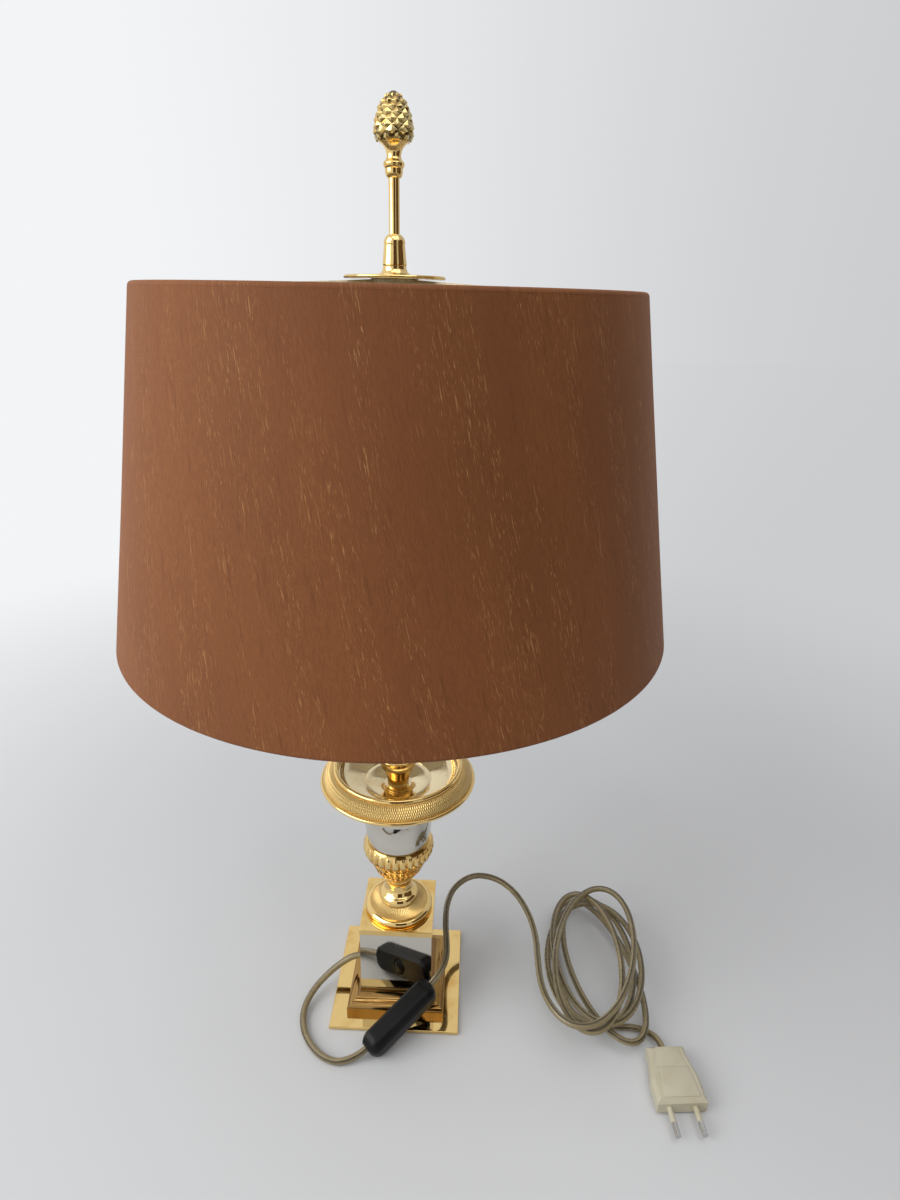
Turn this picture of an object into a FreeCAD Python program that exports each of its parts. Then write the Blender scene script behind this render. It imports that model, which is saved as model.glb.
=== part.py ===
import FreeCAD, Part
import math
import os

import Sketcher

Vector = FreeCAD.Vector
Rotation = FreeCAD.Rotation
Placement = FreeCAD.Placement

# Urn table lamp with a fabric shade
# Millimetres and degrees. +Z is up, -Y is the front, and the origin is the middle
# of the base's underside.

values = {
    # Fits and cuts
    "fit": 0.1,
    "slide_fit": 0.06,
    "seat": 0.3,
    "overrun": 1.0,
    # Square base
    "felt_thick": 0.8,
    "felt_inset": 1.5,
    "plate_side": 100.0,
    "plate_thick": 2.4,
    "plate_round": 0.5,
    "moulding_side": 75.6,
    "moulding_fillet_tall": 4.8,
    "moulding_ovolo_wide": 4.7,
    "moulding_ovolo_tall": 3.7,
    "moulding_step_wide": 1.0,
    "moulding_step_tall": 0.4,
    "moulding_tall": 16.2,
    "moulding_lip": 0.3,
    "die_side": 55.0,
    "die_tall": 72.0,
    "die_wall": 1.2,
    "cap_band_side": 55.4,
    "cap_band_thick": 3.0,
    "cap_side": 56.0,
    "cap_thick": 1.8,
    "cap_round": 0.4,
    "ballast_tall": 52.0,
    "ballast_gap": 0.5,
    "nut_pocket_wide": 26.0,
    "nut_pocket_deep": 9.0,
    "wire_channel_r": 4.6,
    "screw_place": 19.0,
    "screw_head_r": 3.6,
    "screw_head_thick": 1.4,
    "screw_shank_r": 2.0,
    "screw_long": 12.0,
    # Tie tube through every turned piece
    "tube_r": 4.9,
    "tube_bore_r": 3.7,
    "tube_slot_r": 3.4,
    "nut_flats": 17.0,
    "nut_thick": 4.0,
    "washer_r": 10.5,
    "washer_thick": 1.2,
    # Turned foot and collar
    "foot_r": 26.2,
    "foot_torus_tall": 6.2,
    "foot_dish_r": 22.4,
    "foot_dish_top_r": 14.6,
    "foot_dish_top": 9.8,
    "knop_r": 15.0,
    "knop_mid": 12.9,
    "knop_shoulder_r": 12.6,
    "knop_shoulder": 16.6,
    "foot_neck_r": 9.6,
    "foot_tall": 22.4,
    "collar_low_r": 10.0,
    "collar_top_r": 10.9,
    "collar_band": 1.1,
    "collar_tall": 9.0,
    # Gadrooned cup
    "cup_foot_r": 11.2,
    "cup_mid_r": 17.6,
    "cup_mid": 10.5,
    "cup_r": 25.3,
    "cup_shoulder": 31.0,
    "cup_tall": 36.0,
    "cup_lip_in": 0.8,
    "cup_wall": 1.9,
    "cup_floor": 4.8,
    "bell_ledge": 2.0,
    "gadroon_count": 28,
    "gadroon_sink": 0.4,
    # Plain bell of the urn and the spacer inside it
    "bell_seat_r": 23.2,
    "bell_sink": 7.0,
    "bell_waist_r": 24.4,
    "bell_waist": 14.0,
    "bell_body_r": 29.2,
    "bell_body": 37.0,
    "bell_lip_r": 43.6,
    "bell_tall": 60.6,
    "bell_wall": 1.4,
    "spacer_r": 7.5,
    # Rim of the urn
    "rim_r": 56.2,
    "rim_lip_tall": 2.8,
    "rim_groove": 0.6,
    "rim_band_tall": 9.0,
    "rim_band_top_r": 46.8,
    "rim_bead_r": 1.7,
    "rim_inner_r": 43.3,
    "rim_ledge_r": 42.3,
    # Dish inside the rim
    "dish_wall": 1.2,
    "dish_edge_drop": 5.0,
    "dish_edge_wide": 1.2,
    "dish_floor_r": 38.0,
    "dish_floor_drop": 10.6,
    "dish_ring_r": 24.4,
    "dish_ring_drop": 14.0,
    "dish_ring_step": 0.5,
    "dish_well_r": 10.0,
    "dish_well_drop": 17.5,
    # Flared stem cup and plain stem
    "stem_cup_foot_r": 7.6,
    "stem_cup_neck_r": 8.2,
    "stem_cup_neck": 4.0,
    "stem_cup_mid_r": 12.8,
    "stem_cup_mid": 16.0,
    "stem_cup_lip_r": 16.6,
    "stem_cup_lip_tall": 1.8,
    "stem_cup_tall": 26.0,
    "stem_r": 7.0,
    "stem_tall": 107.0,
    # Cluster with two candle lampholders
    "hub_r": 12.5,
    "hub_neck_r": 9.4,
    "hub_band": 10.0,
    "hub_tall": 22.0,
    "hub_tube_grip": 5.0,
    "rod_grip": 9.0,
    "arm_reach": 38.0,
    "arm_r": 4.0,
    "arm_bore_r": 2.8,
    "arm_bend": 9.0,
    "arm_sink": 4.0,
    "arm_rise": 6.0,
    "arm_grip": 5.0,
    "drip_foot_r": 11.0,
    "drip_r": 15.5,
    "drip_tall": 5.0,
    "drip_thick": 1.4,
    "drip_lip": 1.1,
    "sleeve_r": 12.5,
    "sleeve_wall": 1.0,
    "sleeve_drop": 0.6,
    "holder_r": 11.2,
    "holder_tall": 62.6,
    "holder_lead_room": 20.0,
    "socket_r": 7.2,
    "socket_deep": 24.0,
    "bulb_cap_r": 6.9,
    "bulb_tip_r": 3.4,
    "bulb_tip_tall": 3.6,
    "bulb_neck_r": 8.6,
    "bulb_r": 17.5,
    "bulb_belly": 22.0,
    "bulb_shoulder_r": 11.0,
    "bulb_shoulder": 50.0,
    "bulb_point_r": 0.8,
    "bulb_tall": 73.0,
    # Height rod
    "rod_r": 3.0,
    "rod_in_cone": 3.5,
    "rod_nut_flats": 13.0,
    "rod_nut_thick": 5.0,
    # Shade
    "shade_low": 330.7,
    "shade_high": 532.3,
    "shade_low_r": 172.3,
    "shade_high_r": 140.3,
    "cloth_thick": 0.7,
    "lining_thick": 0.5,
    "wire_r": 1.5,
    "hem_room": 0.3,
    "spoke_r": 1.25,
    "spoke_drop": 1.6,
    "spoke_count": 3,
    "spoke_turn": 90.0,
    "spider_hub_r": 13.5,
    "spider_hub_thick": 2.2,
    # Shade carrier on the rod
    "disc_low": 536.4,
    "disc_r": 28.7,
    "disc_thick": 1.9,
    "carrier_r": 4.9,
    "carrier_flange_r": 9.0,
    "carrier_flange_thick": 2.4,
    "carrier_reach": 4.4,
    "bell_nut_foot_r": 8.5,
    "bell_nut_foot_tall": 1.0,
    "bell_nut_waist_r": 6.8,
    "bell_nut_waist": 5.7,
    "bell_nut_shoulder_r": 5.9,
    "bell_nut_shoulder": 15.5,
    "bell_nut_top_r": 3.5,
    "bell_nut_tall": 20.8,
    "clamp_place": 6.9,
    "clamp_r": 1.9,
    "clamp_head_r": 3.6,
    "clamp_head_place": 7.2,
    "clamp_head_long": 5.0,
    # Collar and pine-cone finial
    "stop_low": 586.3,
    "stop_foot_r": 3.6,
    "stop_bead_r": 4.8,
    "stop_bead_top": 3.0,
    "stop_ring_r": 5.6,
    "stop_ring": 5.8,
    "stop_ring_top": 8.0,
    "stop_neck_r": 3.9,
    "stop_tall": 11.2,
    "cone_cup_r": 6.8,
    "cone_cup": 4.6,
    "cone_r": 10.2,
    "cone_belly": 9.2,
    "cone_shoulder_r": 7.8,
    "cone_shoulder": 19.4,
    "cone_point_r": 1.4,
    "cone_tall": 28.3,
    # Cord and its bush
    "cord_r": 2.5,
    "cord_step": 8.0,
    "bush_high": 24.6,
    "bush_r": 3.6,
    "bush_flange_r": 4.8,
    "bush_flange_thick": 1.4,
    "bush_deep": 6.0,
    "lead_r": 0.9,
    "lead_apart": 1.25,
    "lead_bend": 4.0,
    "lead_end": 14.0,
    # In-line switch
    "switch_long": 64.0,
    "switch_wide": 21.0,
    "switch_corner": 9.0,
    "switch_back": 10.6,
    "switch_back_round": 7.0,
    "switch_front": 6.0,
    "switch_front_bevel": 2.2,
    "switch_x": 4.8,
    "switch_y": -51.5,
    "switch_high": 20.4,
    "switch_yaw": 40.0,
    "switch_pitch": 22.3,
    "switch_roll": 80.0,
    "switch_entry": 3.0,
    "rocker_r": 6.0,
    "rocker_gap": 0.4,
    "rocker_well": 5.6,
    "rocker_side_r": 5.3,
    "rocker_under": 2.2,
    "rocker_proud": 1.4,
    "rocker_crown_r": 1.5,
    "rocker_tilt": 8.0,
    # Plug
    "plug_x": 205.0,
    "plug_y": -60.0,
    "plug_yaw": 85.4,
    "plug_long": 42.0,
    "plug_rear_wide": 28.0,
    "plug_wide": 35.3,
    "plug_neck_long": 7.0,
    "plug_shoulder": 25.0,
    "plug_thick": 13.6,
    "plug_bevel": 2.4,
    "pin_r": 2.0,
    "pin_core_r": 1.5,
    "pin_long": 19.0,
    "pin_root": 7.0,
    "pin_sleeve_long": 10.0,
    "pin_apart": 18.6,
    # Hank of cord
    "hank_x": 153.0,
    "hank_y": 2.0,
    "hank_run_x": 2.9,
    "hank_run_y": 2.6,
    "hank_half_long": 67.0,
    "hank_half_wide": 32.0,
    "hank_vary_long": 7.0,
    "hank_vary_wide": 8.0,
    "hank_step": 6.3,
    "hank_ease": 4.6,
    "hank_start": 285.0,
    "hank_lie": 101.0,
    "hank_turn": 3.4,
    "hank_swing": 11.0,
    "hank_loops": 5,
}

doc = FreeCAD.newDocument("UrnTableLamp")
sheet = doc.addObject("Spreadsheet::Sheet", "sizes")
for row, (alias, amount) in enumerate(values.items(), start=1):
    sheet.set(f"A{row}", str(amount))
    sheet.setAlias(f"A{row}", alias)
doc.recompute()


# Rules are sums and products of sheet names, such as "plate_side - 2 * felt_inset".
# bound() turns one into an expression for an object, and number() works it out.
def bound(rule):
    return " ".join("sizes." + word if word[0].isalpha() else word for word in rule.split())


def number(rule):
    total, sign, product, divide, fresh = 0.0, 1.0, 0.0, False, True
    for word in rule.split():
        if word in ("+", "-"):
            total += sign * product
            sign = 1.0 if word == "+" else -1.0
            product, fresh = 0.0, True
        elif word in ("*", "/"):
            divide = word == "/"
        else:
            amount = float(sheet.get(word)) if word[0].isalpha() else float(word)
            if fresh:
                product, fresh = amount, False
            else:
                product = product / amount if divide else product * amount
    return total + sign * product


def minus(rule):
    swaps = {"+": "-", "-": "+"}
    return "0 - " + " ".join(swaps.get(word, word) for word in rule.split())


def span(high_rule, low_rule):
    return high_rule + minus(low_rule)[1:]


def part_of(share, rule):
    # The same share of every term in a rule
    for sign in (" + ", " - "):
        rule = rule.replace(sign, f"{sign}{share} * ")
    return f"{share} * {rule}"


# Heights of the stack, as rules
plate_top = "felt_thick + plate_thick"
die_top = plate_top + " + die_tall"
band_top = die_top + " + cap_band_thick"
cap_top = band_top + " + cap_thick"
foot_top = cap_top + " + foot_tall"
collar_top = foot_top + " + collar_tall"
cup_top = collar_top + " + cup_tall"
bell_low = cup_top + " - bell_sink"
rim_low = bell_low + " + bell_tall"
rim_top = rim_low + " + rim_lip_tall + rim_band_tall + rim_bead_r"
well_floor = rim_top + " - dish_well_drop"
dish_low = well_floor + " - dish_wall"
stem_cup_top = well_floor + " + stem_cup_tall"
hub_low = stem_cup_top + " + stem_tall"
hub_top = hub_low + " + hub_tall"
rod_low = hub_top + " - rod_grip"
arm_high = hub_low + " + 0.5 * hub_tall"
drip_low = arm_high + " + arm_bend + arm_rise"
drip_floor = drip_low + " + drip_thick"
socket_floor = drip_floor + " + holder_tall - socket_deep"
bulb_low = socket_floor + " + seat"
disc_top = "disc_low + disc_thick"
spider_low = "disc_low - fit - spider_hub_thick"
carrier_low = spider_low + " - fit - carrier_flange_thick"
cone_low = "stop_low + stop_tall"
rod_top = cone_low + " + rod_in_cone"
nut_low = plate_top + " + nut_pocket_deep - washer_thick - nut_thick"
cord_channel = "bush_high - felt_thick - plate_thick"


# Helpers for sketches and bodies
def origin_item(body, role):
    return [item for item in body.Origin.OriginFeatures if item.Role == role][0]


def on_plane(body, role, name):
    sketch = body.newObject("Sketcher::SketchObject", name)
    sketch.AttachmentSupport = [(origin_item(body, role), "")]
    sketch.MapMode = "FlatFace"
    return sketch


def hold(sketch, geometry, end, x_rule, y_rule):
    # Ties one point of a sketch to its place from the origin
    for kind, axis, rule in (("DistanceX", -2, x_rule), ("DistanceY", -1, y_rule)):
        if rule == "0":
            sketch.addConstraint(Sketcher.Constraint("PointOnObject", geometry, end, axis))
            continue
        index = sketch.addConstraint(Sketcher.Constraint(kind, -1, 1, geometry, end, number(rule)))
        sketch.setExpression(f"Constraints[{index}]", bound(rule))


def outline(sketch, corners):
    # Each corner is (x rule, y rule), or (x rule, y rule, bulge) where an arc ends there.
    # The bulge is the arc's rise as a share of its chord, outward where positive.
    spots = [Vector(number(corner[0]), number(corner[1]), 0) for corner in corners]
    ends = []
    for index, corner in enumerate(corners):
        start, stop = spots[index - 1], spots[index]
        if len(corner) == 2:
            line = sketch.addGeometry(Part.LineSegment(start, stop))
            ends.append((line, 1, 2))
            continue
        chord = stop - start
        middle = (start + stop) * 0.5 + Vector(chord.y, -chord.x, 0) * corner[2]
        arc = sketch.addGeometry(Part.Arc(start, middle, stop))
        near = 1 if sketch.getPoint(arc, 1).distanceToPoint(start) < chord.Length / 2 else 2
        ends.append((arc, near, 3 - near))
    for index, corner in enumerate(corners):
        following = ends[(index + 1) % len(corners)]
        meeting = (ends[index][0], ends[index][2], following[0], following[1])
        sketch.addConstraint(Sketcher.Constraint("Coincident", *meeting))
        hold(sketch, ends[index][0], ends[index][2], corner[0], corner[1])
    for index, corner in enumerate(corners):
        if len(corner) == 2:
            continue
        before = corners[index - 1]
        across, rise, bulge = span(corner[0], before[0]), span(corner[1], before[1]), corner[2]
        x_rule = before[0] + " + " + part_of(0.5, across) + " + " + part_of(bulge, rise)
        y_rule = before[1] + " + " + part_of(0.5, rise) + " + " + part_of(-bulge, across)
        top = sketch.addGeometry(Part.Point(Vector(number(x_rule), number(y_rule), 0)), True)
        sketch.addConstraint(Sketcher.Constraint("PointOnObject", top, 1, ends[index][0]))
        hold(sketch, top, 1, x_rule, y_rule)


def ring(sketch, radius_rule, x_rule="0", y_rule="0"):
    centre = Vector(number(x_rule), number(y_rule), 0)
    circle = sketch.addGeometry(Part.Circle(centre, Vector(0, 0, 1), number(radius_rule)))
    index = sketch.addConstraint(Sketcher.Constraint("Radius", circle, number(radius_rule)))
    sketch.setExpression(f"Constraints[{index}]", bound(radius_rule))
    hold(sketch, circle, 3, x_rule, y_rule)


def square(sketch, half_rule):
    less = minus(half_rule)
    outline(sketch, [(less, less), (half_rule, less), (half_rule, half_rule), (less, half_rule)])


def hexagon(sketch, flats_rule):
    point_share = 0.5 / math.cos(math.radians(30))
    half = part_of(0.5, flats_rule)
    point = part_of(point_share, flats_rule)
    side = part_of(point_share / 2, flats_rule)
    outline(sketch, [
        (point, "0"),
        (side, half),
        (minus(side), half),
        (minus(point), "0"),
        (minus(side), minus(half)),
        (side, minus(half)),
    ])


def place(item, x_rule="0", y_rule="0", z_rule="0"):
    for axis, rule in (("x", x_rule), ("y", y_rule), ("z", z_rule)):
        if rule != "0":
            item.setExpression(f"Placement.Base.{axis}", bound(rule))


nodes = {}


def keep(item, label):
    item.Label = label
    nodes[label] = item
    return item


def new_body(label):
    return keep(doc.addObject("PartDesign::Body", "body_" + label), label)


def revolved(body, sketch, name):
    turn = body.newObject("PartDesign::Revolution", name)
    turn.Profile = sketch
    turn.ReferenceAxis = (sketch, ["V_Axis"])
    turn.Angle = 360


def turned(label, corners, low_rule):
    # A piece turned on the vertical axis, with heights counted from its own foot
    body = new_body(label)
    sketch = on_plane(body, "XZ_Plane", label + "_profile")
    outline(sketch, corners)
    revolved(body, sketch, label + "_turned")
    place(body, z_rule=low_rule)
    return body


def padded(body, sketch, length_rule, name):
    pad = body.newObject("PartDesign::Pad", name)
    pad.Profile = sketch
    pad.setExpression("Length", bound(length_rule))
    return pad


def pocketed(body, sketch, length_rule, name, other_way=False):
    pocket = body.newObject("PartDesign::Pocket", name)
    pocket.Profile = sketch
    pocket.setExpression("Length", bound(length_rule))
    pocket.Reversed = other_way
    return pocket


def cross_hole(body, role, radius_rule, high_rule, length_rule, name):
    sketch = on_plane(body, role, name + "_circle")
    ring(sketch, radius_rule, "0", high_rule)
    return pocketed(body, sketch, length_rule, name)


def repeated(body, feature, count_rule, name):
    pattern = body.newObject("PartDesign::PolarPattern", name)
    pattern.Originals = [feature]
    pattern.Axis = (origin_item(body, "Z_Axis"), [""])
    pattern.Angle = 360
    pattern.setExpression("Occurrences", bound(count_rule))
    body.Tip = pattern


def swept_along(body, profile, path, name):
    sweep = body.newObject("PartDesign::AdditivePipe", name)
    sweep.Profile = profile
    sweep.Spine = path
    return sweep


def round_bar(name, radius_rule, length_rule, spot, turn=None):
    cylinder = doc.addObject("Part::Cylinder", name)
    cylinder.setExpression("Radius", bound(radius_rule))
    cylinder.setExpression("Height", bound(length_rule))
    if turn:
        cylinder.Placement = Placement(Vector(0, 0, 0), turn)
    place(cylinder, *spot)
    return cylinder


def combined(kind, name, *pieces):
    item = doc.addObject(kind, name)
    if kind == "Part::Compound":
        item.Links = list(pieces)
    else:
        item.Base, item.Tool = pieces
    return item


straight = ("Part::GeomLine", "Part::GeomLineSegment")
any_curve = straight + ("Part::GeomCircle", "Part::GeomArcOfCircle")


def level_edges(shape, level_rule, curves):
    # Names of the edges of some kinds that lie level at a height
    level, near = number(level_rule), number("fit") / 10
    names = []
    for index, edge in enumerate(shape.Edges, start=1):
        box = edge.BoundBox
        flat = abs(box.ZMin - level) < near and abs(box.ZMax - level) < near
        if flat and edge.Curve.TypeId in curves:
            names.append(f"Edge{index}")
    return names


def dressed(kind, body, base, names, size_rule, name):
    item = body.newObject(kind, name)
    item.Base = (base, names)
    item.setExpression("Radius" if kind.endswith("Fillet") else "Size", bound(size_rule))


def plain_ring(inner_rule, outer_rule, tall_rule):
    return [(inner_rule, "0"), (outer_rule, "0"), (outer_rule, tall_rule), (inner_rule, tall_rule)]


quarters = [(x_way, y_way) for x_way in ("", "-1 * ") for y_way in ("", "-1 * ")]


# Base: felt, plate with its screws, mitred moulding, die and cap
def base_felt():
    felt = keep(doc.addObject("Part::Box", "felt_box"), "base_felt")
    for side in ("Length", "Width"):
        felt.setExpression(side, bound("plate_side - 2 * felt_inset"))
    felt.setExpression("Height", bound("felt_thick"))
    place(felt, "felt_inset - 0.5 * plate_side", "felt_inset - 0.5 * plate_side")


def base_plate():
    body = new_body("base_plate")
    sketch = on_plane(body, "XY_Plane", "plate_square")
    square(sketch, "0.5 * plate_side")
    pad = padded(body, sketch, "plate_thick", "plate_pad")
    doc.recompute()
    names = level_edges(pad.Shape, "plate_thick", straight)
    dressed("PartDesign::Fillet", body, pad, names, "plate_round", "plate_edge")
    for name, radius, depth in (
        ("shank_holes", "screw_shank_r + fit", "plate_thick"),
        ("head_recesses", "screw_head_r + fit", "screw_head_thick + 2 * fit"),
    ):
        holes = on_plane(body, "XY_Plane", name + "_circles")
        for x_way, y_way in quarters:
            ring(holes, radius, x_way + "screw_place", y_way + "screw_place")
        pocketed(body, holes, depth, name, True)
    place(body, z_rule="felt_thick")


def base_screws():
    screws = []
    for index, (x_way, y_way) in enumerate(quarters):
        spot = (x_way + "screw_place", y_way + "screw_place", "felt_thick + fit")
        head = round_bar(f"screw_head_{index}", "screw_head_r", "screw_head_thick", spot)
        shank = round_bar(f"screw_shank_{index}", "screw_shank_r", "screw_long", spot)
        screws.append(combined("Part::Fuse", f"screw_{index}", head, shank))
    keep(combined("Part::Compound", "screw_set", *screws), "base_screws")


def base_moulding():
    # One moulded profile carried round the four sides of the die
    body = new_body("base_moulding")
    inner = "0.5 * die_side + fit"
    path = on_plane(body, "XY_Plane", "moulding_path")
    outline(path, [
        (inner, "0"),
        (inner, inner),
        (minus(inner), inner),
        (minus(inner), minus(inner)),
        (inner, minus(inner)),
    ])
    edge = "0.5 * moulding_side"
    ovolo = edge + " - moulding_ovolo_wide"
    ovolo_top = "moulding_fillet_tall + moulding_ovolo_tall"
    profile = on_plane(body, "XZ_Plane", "moulding_profile")
    outline(profile, [
        (inner, "0"),
        (edge, "0"),
        (edge, "moulding_fillet_tall"),
        (ovolo, ovolo_top, 0.2),
        (ovolo + " - moulding_step_wide", ovolo_top + " + moulding_step_tall"),
        (inner + " + moulding_lip", "moulding_tall", -0.18),
        (inner, "moulding_tall"),
    ])
    sweep = swept_along(body, profile, path, "moulding_sweep")
    sweep.Transition = "Right corner"
    place(body, z_rule=plate_top)


def pedestal_die():
    body = new_body("pedestal_die")
    sketch = on_plane(body, "XY_Plane", "die_walls")
    square(sketch, "0.5 * die_side")
    square(sketch, "0.5 * die_side - die_wall")
    padded(body, sketch, "die_tall", "die_pad")
    cross_hole(body, "YZ_Plane", "bush_r + fit", cord_channel, "die_side", "bush_hole")
    place(body, z_rule=plate_top)


def cap_slab(label, side_rule, thick_rule, low_rule, round_rule=None):
    body = new_body(label)
    sketch = on_plane(body, "XY_Plane", label + "_square")
    square(sketch, "0.5 * " + side_rule)
    ring(sketch, "tube_r + fit")
    pad = padded(body, sketch, thick_rule, label + "_pad")
    if round_rule:
        doc.recompute()
        names = level_edges(pad.Shape, thick_rule, straight)
        dressed("PartDesign::Fillet", body, pad, names, round_rule, label + "_edge")
    place(body, z_rule=low_rule)


def pedestal_ballast():
    body = new_body("pedestal_ballast")
    sketch = on_plane(body, "XY_Plane", "ballast_square")
    square(sketch, "0.5 * die_side - die_wall - ballast_gap")
    ring(sketch, "tube_r + fit")
    for x_way, y_way in quarters:
        ring(sketch, "screw_shank_r + fit", x_way + "screw_place", y_way + "screw_place")
    padded(body, sketch, "ballast_tall", "ballast_pad")
    pocket = on_plane(body, "XY_Plane", "nut_pocket_square")
    square(pocket, "0.5 * nut_pocket_wide")
    pocketed(body, pocket, "nut_pocket_deep", "nut_pocket", True)
    cross_hole(body, "YZ_Plane", "wire_channel_r", cord_channel, "die_side", "wire_channel")
    place(body, z_rule=plate_top)


def hexagon_nut(label, flats_rule, bore_rule, thick_rule, low_rule):
    body = new_body(label)
    sketch = on_plane(body, "XY_Plane", label + "_hexagon")
    hexagon(sketch, flats_rule)
    ring(sketch, bore_rule)
    padded(body, sketch, thick_rule, label + "_pad")
    place(body, z_rule=low_rule)


def tie_tube():
    tall = span(hub_low + " + hub_tube_grip", nut_low)
    body = turned("tie_tube", plain_ring("tube_bore_r", "tube_r", tall), nut_low)
    cross_hole(body, "YZ_Plane", "tube_slot_r", span("bush_high", nut_low), "2 * tube_r", "wire_slot")
    hexagon_nut("tie_nut", "nut_flats", "tube_r + fit", "nut_thick", nut_low)
    washer = plain_ring("tube_r + fit", "washer_r", "washer_thick")
    turned("tie_washer", washer, nut_low + " + nut_thick")


# Urn: turned foot, collar, gadrooned cup, bell, rim and dish
def urn_foot():
    turned("urn_foot", [
        ("tube_r + fit", "0"),
        ("foot_dish_r", "0"),
        ("foot_r", "0.5 * foot_torus_tall", 0.2),
        ("foot_dish_r", "foot_torus_tall", 0.2),
        ("foot_dish_r", "foot_torus_tall - 2 * fit"),
        ("foot_dish_top_r", "foot_dish_top", -0.1),
        ("foot_dish_top_r", "foot_dish_top + 2 * fit"),
        ("knop_r", "knop_mid", 0.12),
        ("knop_shoulder_r", "knop_shoulder", 0.12),
        ("foot_neck_r", "foot_tall", -0.12),
        ("tube_r + fit", "foot_tall"),
    ], cap_top)
    turned("urn_collar", [
        ("tube_r + fit", "0"),
        ("collar_low_r", "0"),
        ("collar_low_r", "collar_band"),
        ("collar_top_r", "collar_tall - collar_band", -0.05),
        ("collar_top_r", "collar_tall"),
        ("tube_r + fit", "collar_tall"),
    ], foot_top)


def gadroon_cup():
    # A turned bowl, and one swelling lobe repeated round it
    seat_r = "bell_seat_r + fit"
    body = turned("gadroon_cup", [
        ("tube_r + fit", "0"),
        ("cup_foot_r", "0"),
        ("cup_mid_r", "cup_mid", 0.03),
        ("cup_r", "cup_shoulder", 0.04),
        ("cup_r - cup_lip_in", "cup_tall", 0.12),
        (seat_r, "cup_tall"),
        (seat_r, "cup_tall - bell_sink"),
        (seat_r + " - bell_ledge", "cup_tall - bell_sink"),
        ("cup_mid_r - cup_wall", "cup_mid"),
        ("cup_foot_r - cup_wall", "cup_floor"),
        ("tube_r + fit", "cup_floor"),
    ], collar_top)
    # Each station has a radius, a height, the wall's slope, and the lobe's width and bulge
    full_share = 0.97 * math.tan(math.pi / number("gadroon_count"))
    stations = (
        ("1.02 * cup_foot_r", "0.03 * cup_mid", 52, 0.8, 0.3),
        ("0.5 * cup_foot_r + 0.5 * cup_mid_r", "0.5 * cup_mid", 58, 1, 0.34),
        ("cup_mid_r", "cup_mid", 63, 1, 0.36),
        ("0.46 * cup_mid_r + 0.54 * cup_r", "0.5 * cup_mid + 0.5 * cup_shoulder", 70, 1, 0.36),
        ("cup_r", "cup_shoulder", 80, 1, 0.34),
        ("cup_r - 0.2 * cup_lip_in", "0.5 * cup_shoulder + 0.5 * cup_tall", 100, 0.84, 0.26),
        ("cup_r - 0.9 * cup_lip_in", "0.06 * cup_shoulder + 0.94 * cup_tall", 120, 0.5, 0.1),
    )
    sections = []
    for index, (out, high, slope, width_share, bulge_share) in enumerate(stations):
        section = on_plane(body, "XY_Plane", f"lobe_section_{index}")
        section.AttachmentOffset = Placement(Vector(0, 0, 0), Rotation(Vector(0, 1, 0), 90 - slope))
        section.setExpression("AttachmentOffset.Base.x", bound(out))
        section.setExpression("AttachmentOffset.Base.z", bound(high))
        half = part_of(full_share * width_share, out)
        sunk = "0 - gadroon_sink"
        outline(section, [(sunk, minus(half)), (sunk, half, bulge_share)])
        sections.append(section)
    lobe = body.newObject("PartDesign::AdditiveLoft", "lobe")
    lobe.Profile = sections[0]
    lobe.Sections = sections[1:]
    repeated(body, lobe, "gadroon_count", "gadroons")


def urn_bell():
    turned("urn_bell", [
        ("tube_r + fit", "0"),
        ("bell_seat_r", "0"),
        ("bell_seat_r", "bell_sink"),
        ("bell_waist_r", "bell_waist", -0.02),
        ("bell_body_r", "bell_body", -0.04),
        ("bell_lip_r", "bell_tall", -0.13),
        ("bell_lip_r - bell_wall", "bell_tall"),
        ("bell_body_r - bell_wall", "bell_body", 0.13),
        ("bell_waist_r - bell_wall", "bell_waist", 0.04),
        ("bell_seat_r - bell_wall", "bell_wall", 0.02),
        ("tube_r + fit", "bell_wall"),
    ], bell_low)
    floor = bell_low + " + bell_wall"
    turned("bell_spacer", plain_ring("tube_r + fit", "spacer_r", span(dish_low, floor)), floor)


def urn_rim():
    lip_r = "rim_r - 0.5 * rim_lip_tall"
    band_high = "rim_lip_tall + rim_band_tall"
    ledge = band_high + " + rim_bead_r - dish_edge_drop - dish_wall"
    turned("urn_rim", [
        ("rim_ledge_r", "0"),
        (lip_r, "0"),
        (lip_r, "rim_lip_tall", 0.5),
        (lip_r + " - rim_groove", "rim_lip_tall"),
        ("rim_band_top_r + rim_groove", band_high + " - rim_groove", 0.16),
        ("rim_band_top_r", band_high + " - rim_groove"),
        ("rim_band_top_r", band_high),
        ("rim_inner_r", band_high, 0.5),
        ("rim_inner_r", ledge),
        ("rim_ledge_r", ledge),
    ], rim_low)


def urn_dish():
    # Drops are counted from the rim's top, heights from the underside of the well
    def under(drop_rule):
        return span("dish_well_drop", drop_rule)

    def top(drop_rule):
        return under(drop_rule) + " + dish_wall"

    turned("urn_dish", [
        ("tube_r + fit", "0"),
        ("dish_well_r", "0"),
        ("dish_ring_r", under("dish_ring_drop"), -0.06),
        ("dish_floor_r", under("dish_floor_drop"), -0.03),
        ("rim_ledge_r - seat", under("dish_edge_drop"), 0.12),
        ("rim_inner_r - fit", under("dish_edge_drop")),
        ("rim_inner_r - fit", top("dish_edge_drop")),
        ("rim_inner_r - fit - dish_edge_wide", top("dish_edge_drop")),
        ("dish_floor_r - 0.6 * dish_wall", top("dish_floor_drop"), -0.12),
        ("dish_ring_r", top("dish_ring_drop"), 0.03),
        ("dish_ring_r", top("dish_ring_drop") + " - dish_ring_step"),
        ("dish_well_r", "dish_wall", 0.06),
        ("tube_r + fit", "dish_wall"),
    ], dish_low)


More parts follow.
